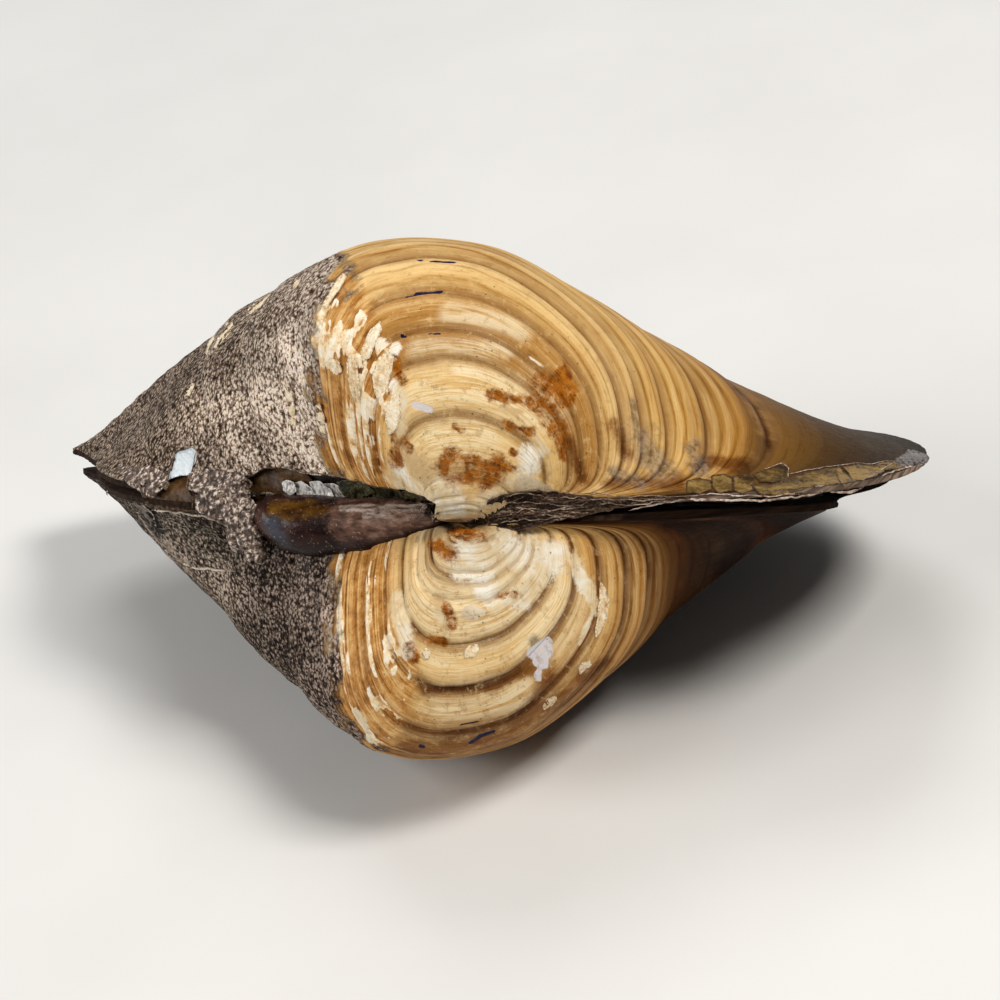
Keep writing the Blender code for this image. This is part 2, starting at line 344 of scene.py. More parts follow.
def inside_distance(pixels, outline):
    """Distance in pixels to a closed outline, above 0 inside it."""
    corners = np.asarray(outline, float)
    nearest = np.full(pixels.shape[:-1], 1e9)
    inside = np.zeros(pixels.shape[:-1], bool)
    for start, end in zip(corners, np.roll(corners, -1, axis=0)):
        along = end - start
        share = np.clip((pixels - start) @ along / max(along @ along, 1e-9), 0, 1)
        nearest = np.minimum(nearest, np.linalg.norm(pixels - start - share[..., None] * along, axis=-1))
        if start[1] != end[1]:
            level = (start[1] > pixels[..., 1]) != (end[1] > pixels[..., 1])
            crossing = start[0] + (pixels[..., 1] - start[1]) * along[0] / along[1]
            inside ^= level & (pixels[..., 0] < crossing)
    return np.where(inside, nearest, -nearest)


def flat_noise(pixels, size, seed, octaves=1):
    """Noise over pixels of the photograph, from -1 to 1."""
    return noise(np.concatenate([pixels, pixels[..., :1] * 0], axis=-1), size, seed, octaves)


# Marks on the two valves, by kind: strokes between two pixels of the photograph, with a radius.
LEFT_MARKS = {
    # Pale cream, with painted highlights on the band crests.
    "cream_and_highlight": (
        (430, 400, 530, 410, 24), (420, 352, 500, 352, 9), (440, 430, 480, 425, 20),
        (450, 318, 520, 330, 9), (460, 372, 520, 385, 8),
    ),
    "chalk": (
        (418, 470, 455, 495, 20), (500, 495, 470, 505, 15), (530, 456, 521, 475, 11),
        (402, 470, 420, 495, 11), (412, 455, 432, 480, 10), (402, 400, 400, 430, 7),
        (512, 412, 548, 452, 2.2), (528, 357, 543, 368, 1.2), (535, 410, 542, 418, 2.2),
        (398, 348, 392, 360, 4), (396, 385, 402, 395, 6), (500, 408, 520, 412, 3), (455, 515, 456, 520, 6),
    ),
    "rust": (
        (450, 458, 492, 468, 13), (495, 462, 514, 466, 5), (545, 385, 562, 398, 11),
        (562, 372, 568, 400, 7), (545, 405, 556, 430, 10), (555, 430, 562, 455, 6), (520, 400, 545, 412, 6),
        (512, 450, 513, 452, 3), (406, 440, 411, 446, 4), (395, 450, 400, 462, 5), (490, 396, 515, 400, 6),
        (396, 362, 404, 382, 5), (505, 425, 530, 432, 5), (455, 425, 462, 430, 3), (392, 418, 396, 440, 3),
    ),
    "slit": (
        (418, 264, 423, 264, 1.3), (431, 265, 455, 266, 1.1), (406, 298, 412, 296, 1.4),
        (417, 294, 430, 293, 1.4), (428, 293, 443, 292, 1.0), (402, 336, 405, 337, 1.5),
        (428, 335, 441, 335, 0.9),
    ),
    "smudge": (
        (640, 440, 662, 470, 11), (690, 450, 700, 470, 8), (630, 405, 638, 450, 5), (610, 470, 640, 485, 6),
    ),
    "chip": (
        (525, 480, 545, 490, 8),
    ),
    "pearl": (
        (416, 405, 430, 410, 3.6),
    ),
    "bright": (
        (203, 494, 234, 482, 14), (232, 440, 268, 470, 18), (275, 400, 320, 460, 24),
        (205, 415, 290, 400, 20), (290, 345, 310, 380, 12),
    ),
    "shade": (
        (428, 500, 439, 511, 6), (437, 510, 451, 524, 6), (466, 524, 492, 512, 4),
    ),
    # Brown stains on the hind slope, and painted shade on the hinge side and beside ring A.
    "stain_and_shade": (
        (321, 385, 336, 435, 6), (343, 400, 354, 458, 5), (366, 415, 382, 465, 6), (610, 484, 680, 484, 7),
        (568, 440, 582, 478, 5), (612, 425, 626, 455, 6), (700, 462, 745, 468, 6), (734, 392, 752, 407, 3),
        (752, 407, 766, 430, 3), (766, 430, 769, 448, 3),
    ),
}
RIGHT_MARKS = {
    # Pale cream, with painted highlights on the band crests.
    "cream_and_highlight": (
        (440, 600, 540, 620, 30), (450, 650, 560, 600, 20), (440, 700, 520, 690, 15),
    ),
    "chalk": (
        (470, 562, 545, 560, 22), (572, 560, 596, 610, 6), (490, 592, 520, 596, 14),
        (400, 600, 410, 650, 7), (440, 600, 448, 625, 7), (590, 612, 578, 640, 3),
    ),
    "rust": (
        (435, 545, 450, 555, 7), (412, 645, 415, 655, 5), (455, 532, 480, 536, 6), (448, 605, 452, 625, 5),
        (430, 640, 445, 642, 4), (500, 596, 512, 594, 4),
    ),
    "slit": (
        (420, 741, 425, 742, 1.6), (468, 739, 480, 733, 1.3), (478, 733, 494, 728, 1.2),
        (458, 722, 478, 718, 0.9),
    ),
    "smudge": (
        (530, 640, 542, 655, 6),
    ),
    "chip": (
        (360, 708, 375, 735, 4), (478, 612, 470, 612, 7),
    ),
    "pearl": (
        (529, 651, 546, 641, 5), (533, 652, 544, 650, 7), (537, 660, 541, 662, 5), (535, 671, 536, 676, 3),
    ),
    "bright": (
        (340, 620, 350, 680, 10), (165, 540, 225, 590, 24),
    ),
    "shade": (
        (434, 522, 452, 527, 4), (464, 523, 484, 526, 4), (150, 512, 160, 528, 6),
    ),
    # Painted shade under the left valve's margin and towards the bottom edge.
    "stain_and_shade": (
        (670, 520, 800, 515, 12), (720, 560, 780, 520, 14), (405, 740, 440, 746, 7),
        (440, 746, 500, 730, 9), (500, 730, 552, 696, 9), (552, 696, 600, 660, 7), (425, 690, 490, 686, 4),
        (490, 686, 542, 664, 4), (530, 700, 548, 672, 7),
    ),
}

# The grid of a valve's outer surface: knots of age with their rows, and of around with their columns.
AGE_KNOTS = (0, 0.4, 1.0, 1.6, 2.2, BEAK_AGE)
AGE_ROWS = (0, 62, 182, 268, 308, 326)
AROUND_KNOTS = (0, 0.35, 0.65, 0.96, 1.0)
AROUND_COLUMNS = (0, 95, 150, 280, 292)


def outer_grid(side):
    """Ages and arounds of the outer surface's vertices, margin first."""
    ages = np.interp(np.arange(AGE_ROWS[-1] + 1), AGE_ROWS, AGE_KNOTS)
    arounds = np.interp(np.arange(AROUND_COLUMNS[-1]), AROUND_COLUMNS, AROUND_KNOTS)
    age, around = np.meshgrid(ages, arounds, indexing="ij")
    start = margin_age(around, side)
    return start + age * (1 - start / BEAK_AGE), around


def band_relief(age, side):
    """Swell of the growth bands from 0 to 1, and how close each point is to a rest ring and its trough."""
    rings = np.array(RINGS[side])
    index = np.clip(np.searchsorted(rings, age, side="right") - 1, 0, len(rings) - 2)
    width = rings[index + 1] - rings[index]
    step = np.clip((age - rings[index]) / width, 0, 1)
    swell = np.maximum(np.sin(math.pi * step ** BAND_SKEW), 0) ** BAND_FULLNESS
    gap = np.minimum(age - rings[index], rings[index + 1] - age)
    groove = np.exp(-((gap / GROOVE_WIDTH) ** 2)) * (age > FIRST_GROOVE_AGE)
    trough = np.exp(-((gap / TROUGH_WIDTH) ** 2)) * (age > FIRST_GROOVE_AGE)
    return swell, groove, trough


def rib_relief(age, wavy_age, drift, line, side):
    """Phase of the fine ribs, how strong they are, and their height in mm."""
    seed = SURFACE_SEED[side]
    phase = np.interp(wavy_age, RIBS[side], np.arange(len(RIBS[side])))
    phase = phase + 0.30 * noise(drift, 1.1, seed + 1, 2)
    rib = np.abs(np.sin(math.pi * phase)) ** 0.6
    size = 0.75 + 0.35 * noise(line, 0.06, seed + 3, 2)
    ribbed = (0.2 + 0.8 * smooth(1.25 - age, 0, 0.3)) * (0.35 + 0.65 * smooth(age, 0.28, 0.40))
    height = RIB_HEIGHT * rib * size * ribbed + LINE_HEIGHT * noise(line, 0.012, seed + 2, 2)
    return phase, np.clip(ribbed * size, 0, 1), height


def wrinkle_relief(age, around, drift, free, side):
    """The wrinkles at the beaks, from 0 to 1, and their height in mm."""
    first, pitch, highest = BEAK_WRINKLES[side]
    young = smooth(age, first, first + 0.2) * smooth(free, 0.12, 0.55)
    wave = 0.015 * np.cos(8 * math.pi * around) + 0.022 * noise(drift, 0.7, SURFACE_SEED[side] + 7, 2)
    zigzag = np.sin((age + wave) * 2 * math.pi / pitch)
    height = highest * zigzag * young * np.exp(-(age - first) * 0.6)
    return 0.5 + 0.5 * zigzag * young, height


def crust_share(age, around, points):
    """How much dark pebbly crust there is: on the hind slope of the valve, up to an old growth line."""
    ragged = noise(points, 3.0, 5, 3)
    fresh = smooth(CRUST_AGE + 0.06 * ragged + 0.16 * noise(points, 1.3, 6, 3) - age, *CRUST_FADE)
    behind = smooth(around + 0.012 * ragged, *CRUST_FRONT)
    return fresh * behind * (1 - smooth(around, *CRUST_HINGE))


def scale_pattern(age, around, rings, seed):
    """Loose pale scales between the crust and the umbo, long in the direction of the growth lines."""
    zone = smooth(age, *SCALES_FIRST_AGE) * smooth(SCALES_LAST_AGE - age, 0, SCALES_FADE)
    zone = zone * smooth(around, *SCALES_FRONT) * smooth(SCALES_BACK - around, 0, SCALES_BACK_FADE)
    line = np.stack([age, rings[..., 0] * 0.35, rings[..., 1] * 0.35], axis=-1)
    pattern = noise(line, 0.050, seed, 3)
    return zone, smooth(pattern, 0.02, 0.24) * zone


def surface_relief(age, around, base, side):
    """Height of a valve's growth relief and crust in mm, and the values that its material reads."""
    seed = SURFACE_SEED[side]
    rings = np.stack([np.cos(2 * math.pi * around), np.sin(2 * math.pi * around)], axis=-1)
    drift = np.stack([age * 0, rings[..., 0] * 3, rings[..., 1] * 3], axis=-1)
    wavy_age = age + 0.006 * noise(drift, 1.0, seed, 2) * smooth(age, 0, 0.1)
    line = np.stack([wavy_age, rings[..., 0] * 0.03, rings[..., 1] * 0.03], axis=-1)
    free = np.clip(base[..., 2] / BULGE_HEIGHT, 0, 1)
    crust = crust_share(age, around, base)
    swell, groove, trough = band_relief(wavy_age, side)
    phase, ribbed, ridges = rib_relief(age, wavy_age, drift, line, side)
    wrinkle, folds = wrinkle_relief(age, around, drift, free, side)
    zone, scales = scale_pattern(age, around, rings, seed + 6)
    height = BAND_HEIGHT[side] * swell * np.exp(-0.25 * age) * smooth(age, 0, 0.3) * free
    height = height - RING_DEPTH[side] * groove * (1 - 0.6 * crust)
    height = height + ridges * np.exp(-0.3 * age) * (1 - 0.7 * crust) * (0.3 + 0.7 * free)
    height = height + folds
    lumps = 0.12 * noise(base, 1.3, seed + 4, 3) + 0.08 * noise(base, 0.5, seed + 5, 2)
    height = height + crust * (CRUST_HEIGHT + lumps) + SCALE_HEIGHT * scales
    return height, {
        "age": wavy_age, "ring_x": rings[..., 0], "ring_y": rings[..., 1], "groove": groove, "crust": crust,
        "wrinkle": wrinkle, "phase": phase, "ribbed": ribbed, "swell": swell, "trough": trough, "zone": zone,
        "scales": scales,
    }


def valve_surface(side, marks):
    """Vertices of a valve's outer surface, their attributes, and how far they face the camera."""
    age, around = outer_grid(side)
    base = lifted(growth_surface(age, around))
    normals = grid_normals(base)
    height, attributes = surface_relief(age, around, base, side)
    height = height * smooth(np.arange(AGE_ROWS[-1] + 1.0)[:, None], 0, 3)
    placed_base = in_place(base, side)
    pixels = photo_pixels(placed_base)
    outward = in_place(base + normals, side) - placed_base
    outward = outward / np.linalg.norm(outward, axis=-1, keepdims=True)
    _, _, forward = photo_axes()
    facing = -(outward @ forward)
    shown = smooth(facing, *SHOWN_FACING)
    masks = {kind: stroke_mask(pixels, strokes) * shown for kind, strokes in marks.items()}
    height = height + CHIP_HEIGHT * smooth(masks["chip"], *MARK_EDGE)
    height = height - SLIT_DEPTH * smooth(masks["slit"], *SLIT_EDGE)
    height = height - PEARL_DEPTH * smooth(masks["pearl"], *MARK_EDGE)
    if side == LEFT:
        base = base + smooth(age, *DROOP_AGES)[..., None] * np.array(BEAK_DROOP)
    points = in_place(base + normals * height[..., None], side)
    return points, {**attributes, **masks}, facing


def grid_faces(rows, columns):
    """Quads of a grid whose rows are closed rings, as vertex numbers."""
    upper = np.arange(rows - 1)[:, None] * columns + np.arange(columns)
    right = np.roll(upper, -1, axis=1)
    return np.stack([upper, right, right + columns, upper + columns], axis=-1).reshape(-1, 4)


def triangles_of(faces):
    """Quads as triangles; triangles stay as they are."""
    corners = np.asarray(faces)
    if corners.shape[1] == 4:
        corners = np.concatenate([corners[:, [0, 1, 2]], corners[:, [0, 2, 3]]])
    return corners


def cut_sheet(points, faces, keep, fields, drop):
    """A sheet without the parts where keep is below 0; its cut edge is drawn down by each point's drop."""
    corners = triangles_of(faces)
    inside = keep > 0
    count = inside[corners].sum(axis=1)
    starts = []
    ends = []
    made = {}
    new_faces = []
    edges = []

    def crossing(first, second):
        key = (min(first, second), max(first, second))
        if key not in made:
            made[key] = len(points) + len(starts)
            starts.append(first)
            ends.append(second)
        return made[key]

    for triangle in corners[(count == 1) | (count == 2)].tolist():
        kept = [bool(inside[corner]) for corner in triangle]
        turn = kept.index(sum(kept) == 1)
        a, b, c = triangle[turn:] + triangle[:turn]
        to_b = crossing(a, b)
        to_c = crossing(a, c)
        if sum(kept) == 1:
            new_faces.append((a, to_b, to_c))
            edges.append((to_b, to_c))
        else:
            new_faces += [(to_b, b, c), (to_b, c, to_c)]
            edges.append((to_c, to_b))
    below = len(starts)
    for u, v in edges:
        new_faces += [(v, u, u + below), (v, u + below, v + below)]
    share = (keep[starts] / (keep[starts] - keep[ends])) if starts else np.zeros(0)

    def between(values):
        weight = share if values.ndim == 1 else share[:, None]
        return values[starts] * (1 - weight) + values[ends] * weight

    whole = len(points) + below
    if starts:
        cut = between(points)
        points = np.concatenate([points, cut, cut + between(drop)])
        fields = {
            name: np.concatenate([values, between(values), between(values)])
            for name, values in fields.items()
        }
    skirt = np.zeros(len(points))
    skirt[whole:] = 1
    fields = {**fields, "skirt": skirt}
    corners = corners[count == 3]
    if new_faces:
        corners = np.concatenate([corners, np.array(new_faces)])
    used, corners = np.unique(corners, return_inverse=True)
    corners = corners.reshape(-1, 3)
    return points[used], corners, {name: values[used] for name, values in fields.items()}


def joined(parts):
    """Several parts, each with points, faces and fields, as one."""
    points = np.concatenate([part[0] for part in parts])
    faces = []
    start = 0
    for part_points, part_faces, _ in parts:
        faces += [tuple(int(corner) + start for corner in face) for face in part_faces]
        start += len(part_points)
    fields = {}
    for name in sorted(set().union(*[part[2] for part in parts])):
        fields[name] = np.concatenate([part[2].get(name, np.zeros(len(part[0]))) for part in parts])
    return points, faces, fields


# Which vertices a skin is made of, the room around a flake's outline in pixels, and a strand's sides.
SKIN_STEP = 2
SKIN_FACING = 0.02
PLATE_MARGIN = 4
TUBE_COLUMNS = 8


class Skin:
    """The side of a valve that the photograph shows, looked up by pixel."""

    def __init__(self, points, facing):
        near = points[::SKIN_STEP, ::SKIN_STEP][facing[::SKIN_STEP, ::SKIN_STEP] > SKIN_FACING]
        _, _, forward = photo_axes()
        self.pixels = photo_pixels(near)
        self.depths = -(near @ forward)
        self.tree = KDTree(len(near))
        for number, (x, y) in enumerate(self.pixels.tolist()):
            self.tree.insert((x, y, 0), number)
        self.tree.balance()

    def depth(self, pixels):
        """Depth of the skin at pixels; past its edge, the depth of the nearest part."""
        flat = np.asarray(pixels, float).reshape(-1, 2)
        result = []
        for x, y in flat.tolist():
            near = self.tree.find_n((x, y, 0), 4)
            weights = [1 / (distance + 0.5) ** 2 for _, _, distance in near]
            total = sum(self.depths[number] * weight for (_, number, _), weight in zip(near, weights))
            result.append(total / sum(weights))
        return np.array(result).reshape(np.shape(pixels)[:-1])


def plate(outline, skin, thickness, seed, rag=1.5, step=1.5, raised=0.0, sunk=0.3, curl=0.0, rough=0.05):
    """A thin ragged flake on a skin: outline, rag and step in pixels, thickness and the rest in mm."""
    corners = np.asarray(outline, float)
    low = corners.min(axis=0) - PLATE_MARGIN
    high = corners.max(axis=0) + PLATE_MARGIN
    across = np.arange(low[0], high[0], step)
    down = np.arange(low[1], high[1], step)
    pixels = np.stack(np.meshgrid(across, down, indexing="xy"), axis=-1)
    keep = inside_distance(pixels, corners) + rag * flat_noise(pixels, 7.0, seed, 3)
    skin_depth = skin.depth(pixels)
    relief = rough * flat_noise(pixels, 9.0, seed + 1, 3)
    relief = relief + 0.4 * rough * flat_noise(pixels, 3.0, seed + 2, 2)
    height = raised + thickness + relief + curl * (1 - smooth(keep, 0, 6))
    points = from_photo(pixels, skin_depth + height).reshape(-1, 3)
    low_points = from_photo(pixels, skin_depth - sunk).reshape(-1, 3)
    rows, columns = keep.shape
    number = np.arange(rows * columns).reshape(rows, columns)
    faces = np.stack([number[:-1, :-1], number[1:, :-1], number[1:, 1:], number[:-1, 1:]], axis=-1)
    fields = {"edge": (1 - smooth(keep, 0, 3.5)).ravel()}
    return cut_sheet(points, faces.reshape(-1, 4), keep.ravel(), fields, low_points - points)


def plates(shapes, skin, seed, **how):
    """A plate for each outline with its thickness."""
    return [
        plate(outline, skin, thickness, seed + number, **how)
        for number, (outline, thickness) in enumerate(shapes)
    ]


def outward_faces(points, faces):
    """Faces of a closed body, turned so that they face out."""
    corners = np.array([(face[0], face[i], face[i + 1]) for face in faces for i in range(1, len(face) - 1)])
    a, b, c = (points[corners[:, i]] - points.mean(axis=0) for i in range(3))
    if np.sum(a * np.cross(b, c)) < 0:
        return [tuple(face[::-1]) for face in faces]
    return [tuple(face) for face in faces]


def closed_grid(points, rows, columns):
    """A grid of closed rings as a body, closed at its first and last ring."""
    first = list(range(columns))[::-1]
    last = list(range((rows - 1) * columns, rows * columns))
    return points, outward_faces(points, grid_faces(rows, columns).tolist() + [first, last]), {}


def tube(centres, radii, squash):
    """A round strand along centres, closed at its ends."""
    along = np.gradient(centres, axis=0)
    along /= np.maximum(np.linalg.norm(along, axis=1, keepdims=True), 1e-9)
    _, _, forward = photo_axes()
    sideways = np.cross(along, -forward)
    sideways /= np.maximum(np.linalg.norm(sideways, axis=1, keepdims=True), 1e-9)
    outward = np.cross(sideways, along)
    angle = (2 * math.pi * np.arange(TUBE_COLUMNS) / TUBE_COLUMNS)[None, :, None]
    ring = np.cos(angle) * sideways[:, None] + squash * np.sin(angle) * outward[:, None]
    rings = centres[:, None] + radii[:, None, None] * ring
    return closed_grid(rings.reshape(-1, 3), len(centres), TUBE_COLUMNS)


def path_points(corners, step=2.0):
    """Points along a line through corners, a step apart."""
    corners = np.asarray(corners, float)
    lengths = np.concatenate([[0], np.cumsum(np.linalg.norm(np.diff(corners, axis=0), axis=1))])
    places = np.arange(0, lengths[-1], step)
    return np.stack([np.interp(places, lengths, corners[:, axis]) for axis in range(2)], axis=-1)


def ribbon(corners, skin, width, seed, raised=0.05, sway=1.5, squash=0.8):
    """A thin uneven edge of a layer along a line of pixels; width and raised in mm, sway in pixels."""
    pixels = path_points(corners)
    shift = np.stack([flat_noise(pixels, 9.0, seed, 2), flat_noise(pixels, 7.0, seed + 1, 3)], axis=-1)
    pixels = pixels + sway * shift
    place = np.linspace(0, 1, len(pixels))
    ends = np.minimum(smooth(place, -0.01, 0.06), smooth(1 - place, -0.01, 0.06))
    radii = 0.5 * width * (1 + 0.5 * flat_noise(pixels, 6.0, seed + 2, 2)) * np.maximum(ends, 0.1)
    return tube(from_photo(pixels, skin.depth(pixels) + raised), radii, squash)


def ribbons(lines, skin, width, seed, **how):
    """A ribbon along each line."""
    return [ribbon(line, skin, width, seed + number, **how) for number, line in enumerate(lines)]


def crumb(centre, radii, seed, rows=14, columns=18, uneven=0.35):
    """A small rough lump about a centre, in the shell's own axes."""
    polar = math.pi * (np.arange(rows) + 0.5) / rows
    angle = 2 * math.pi * np.arange(columns) / columns
    polar, angle = np.meshgrid(polar, angle, indexing="ij")
    ball = np.stack([np.cos(polar), np.sin(polar) * np.cos(angle), np.sin(polar) * np.sin(angle)], axis=-1)
    ball *= (1 + uneven * noise(ball * 1.4, 0.7, seed, 3))[..., None]
    points = ball * np.asarray(radii) + np.asarray(centre)
    return closed_grid(points.reshape(-1, 3), rows, columns)


def add_piece(name, part, material, replaces=()):
    """One visible piece of the shell, in the row's frame, riding on the shell's one body."""
    points, faces, fields = part
    data = bpy.data.meshes.new(name)
    data.from_pydata(row_place(points).tolist(), [], [list(map(int, face)) for face in faces])
    for label, values in fields.items():
        layer = data.attributes.new(label, "FLOAT", "POINT")
        layer.data.foreach_set("value", np.asarray(values, np.float32))
    data.shade_smooth()
    data.materials.append(material)
    piece = bpy.data.objects.new(name, data)
    bpy.context.scene.collection.objects.link(piece)
    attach(piece, "root")
    if replaces:
        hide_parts(*replaces)


class Graph:
    """A short way to write a material's nodes."""

    def __init__(self, name):
        self.material = bpy.data.materials.new(name)
        self.material.use_nodes = True
        self.tree = self.material.node_tree
        self.shader = self.tree.nodes["Principled BSDF"]
        self.place = self.node("ShaderNodeTexCoord", {}, "Object")

    def put(self, socket, value):
        """A socket's value: another node's output, a colour or a number."""
        if isinstance(value, bpy.types.NodeSocket):
            self.tree.links.new(value, socket)
        elif isinstance(value, tuple) and len(value) == 3 and socket.type == "RGBA":
            socket.default_value = (*value, 1)
        else:
            socket.default_value = value

    def node(self, kind, inputs, output=0, **settings):
        """One output of a new node."""
        node = self.tree.nodes.new(kind)
        for key, value in settings.items():
            setattr(node, key, value)
        for key, value in inputs.items():
            self.put(node.inputs[key], value)
        return node.outputs[output]

    def attribute(self, name):
        return self.node("ShaderNodeAttribute", {}, "Fac", attribute_name=name)

    def math(self, operation, first, second=0.0, clamp=False):
        return self.node("ShaderNodeMath", {0: first, 1: second}, operation=operation, use_clamp=clamp)

    def times(self, first, second):
        return self.math("MULTIPLY", first, second)

    def total(self, *shares):
        """The sum of values, each times its share."""
        result = None
        for value, share in shares:
            part = self.times(value, share)
            result = part if result is None else self.math("ADD", result, part)
        return result

    def stretched(self, *factors):
        """The place in the part, stretched along its axes."""
        return self.tint(self.place, factors)

    def noise(self, scale, detail, roughness, vector=None):
        inputs = {"Vector": vector or self.place, "Scale": scale, "Detail": detail, "Roughness": roughness}
        return self.node("ShaderNodeTexNoise", inputs, "Fac")

    def pebbles(self, scale):
        """Distance from the middle of each pebble."""
        return self.node("ShaderNodeTexVoronoi", {"Vector": self.place, "Scale": scale}, "Distance")

    def span(self, value, low, high, to_low=0.0, to_high=1.0):
        """A value from low to high, moved smoothly to the range of the other two."""
        inputs = {"Value": value, "From Min": low, "From Max": high, "To Min": to_low, "To Max": to_high}
        return self.node("ShaderNodeMapRange", inputs, "Result", interpolation_type="SMOOTHSTEP")

    def ramp(self, value, stops):
        """The colour of a value, by stops of place and colour."""
        node = self.tree.nodes.new("ShaderNodeValToRGB")
        elements = node.color_ramp.elements
        while len(elements) < len(stops):
            elements.new(0.5)
        for element, (place, colour) in zip(elements, stops):
            element.position = place
            element.color = (*colour, 1)
        self.put(node.inputs["Fac"], value)
        return node.outputs["Color"]

    def mix(self, share, first, second):
        return self.node("ShaderNodeMix", {0: share, 6: first, 7: second}, 2, data_type="RGBA")

    def scale(self, colour, factor):
        """A colour made brighter or darker by a factor."""
        return self.node("ShaderNodeVectorMath", {0: colour, "Scale": factor}, operation="SCALE")

    def tint(self, colour, tint):
        """A colour times another."""
        return self.node("ShaderNodeVectorMath", {0: colour, 1: tint}, operation="MULTIPLY")

    def ragged(self, mask, grain, rag, edge):
        """A mask with its 0.5 edge made uneven by a noise; edge is half the width of the blend."""
        uneven = self.math("ADD", mask, self.times(self.math("SUBTRACT", grain, 0.5), rag))
        uneven = self.times(uneven, self.span(mask, 0.02, 0.12))
        return self.span(uneven, 0.5 - edge, 0.5 + edge)

    def bump(self, height, distance, normal=None):
        inputs = {"Height": height, "Distance": distance, "Strength": 1.0}
        if normal:
            inputs["Normal"] = normal
        return self.node("ShaderNodeBump", inputs, "Normal")

    def gloss(self, specular, coat=0.0, coat_roughness=0.0):
        self.shader.inputs["Specular IOR Level"].default_value = specular
        if coat:
            self.shader.inputs["Coat Weight"].default_value = coat
            self.shader.inputs["Coat Roughness"].default_value = coat_roughness

    def finish(self, colour, roughness, normal):
        self.put(self.shader.inputs["Base Color"], colour)
        self.put(self.shader.inputs["Roughness"], roughness)
        self.put(self.shader.inputs["Normal"], normal)
        return self.material


# How far the noise of the growth lines changes along a ring, against its change with age.
LINE_STRETCH = 0.022


class ValveGraph(Graph):
    """The nodes of a valve's material, with the noises that its layers share."""

    def __init__(self, name, tones):
        super().__init__(name)
        self.tones = tones
        self.age = self.attribute("age")
        self.grain = self.noise(1800.0, 4, 0.65)
        self.speck = self.noise(4200.0, 3, 0.65)
        self.cloud = self.noise(260.0, 4, 0.6)
        self.torn = self.noise(600.0, 6, 0.75)
        self.patchy = self.noise(1000.0, 5, 0.7)
        self.line_noises()

    def line_noises(self):
        """Fine growth lines, from three sizes of noise along the rings: as tones, and as a height."""
        ring_x = self.times(self.attribute("ring_x"), LINE_STRETCH)
        ring_y = self.times(self.attribute("ring_y"), LINE_STRETCH)
        place = self.node("ShaderNodeCombineXYZ", {0: self.age, 1: ring_x, 2: ring_y})
        broad = self.noise(14.0, 2, 0.5, place)
        fine = self.noise(60.0, 2, 0.5, place)
        hair = self.noise(200.0, 2, 0.6, place)
        self.tone = self.total((broad, 0.25), (fine, 0.40), (hair, 0.35))
        self.lines = self.total((fine, 0.6), (hair, 0.4))

    def marked(self, kind, rag, edge):
        """Where a mark shows, with a torn edge."""
        return self.ragged(self.attribute(kind), self.torn, rag, edge)


# Colours of the valves' marks and layers; a ramp's stops are places on a noise with their colours.
WARM_SHADE = (0.66, 0.50, 0.34)
WARM_LINE = (0.42, 0.30, 0.18)
WORN_DARK = (0.50, 0.36, 0.22)
# The dark of the stains and of painted shade.
STAIN_AND_SHADE_DARK = (0.40, 0.27, 0.17)
# The cream's colours, dark and pale, which also paint highlights on the band crests.
CREAM_HIGHLIGHT_DARK = (0.70, 0.45, 0.18)
CREAM_HIGHLIGHT_PALE = (0.95, 0.84, 0.58)
LOOSE_STOPS = ((0.40, (0.13, 0.045, 0.010)), (0.48, (0.46, 0.19, 0.035)), (0.60, (0.80, 0.52, 0.22)))
SCALE_STOPS = ((0.36, (0.55, 0.30, 0.11)), (0.46, (0.86, 0.65, 0.38)), (0.58, (0.94, 0.86, 0.70)))
CHALK_STOPS = ((0.38, (0.66, 0.46, 0.23)), (0.50, (0.80, 0.66, 0.44)), (0.62, (0.92, 0.87, 0.76)))
CHALK_FOLD = (0.52, 0.36, 0.18)
CHALK_LINE = (0.45, 0.30, 0.14)
RUST_STOPS = ((0.40, (0.10, 0.022, 0.001)), (0.60, (0.46, 0.145, 0.009)))
SMUDGE_STOPS = ((0.40, (0.04, 0.03, 0.025)), (0.60, (0.34, 0.265, 0.195)))
CHIP_STOPS = ((0.3, (0.50, 0.34, 0.17)), (0.7, (0.80, 0.70, 0.52)))
PEARL = (0.68, 0.64, 0.66)
SLIT_BLUE = (0.012, 0.012, 0.045)
WALL_STOPS = ((0.4, (0.05, 0.03, 0.02)), (0.6, (0.50, 0.40, 0.30)))


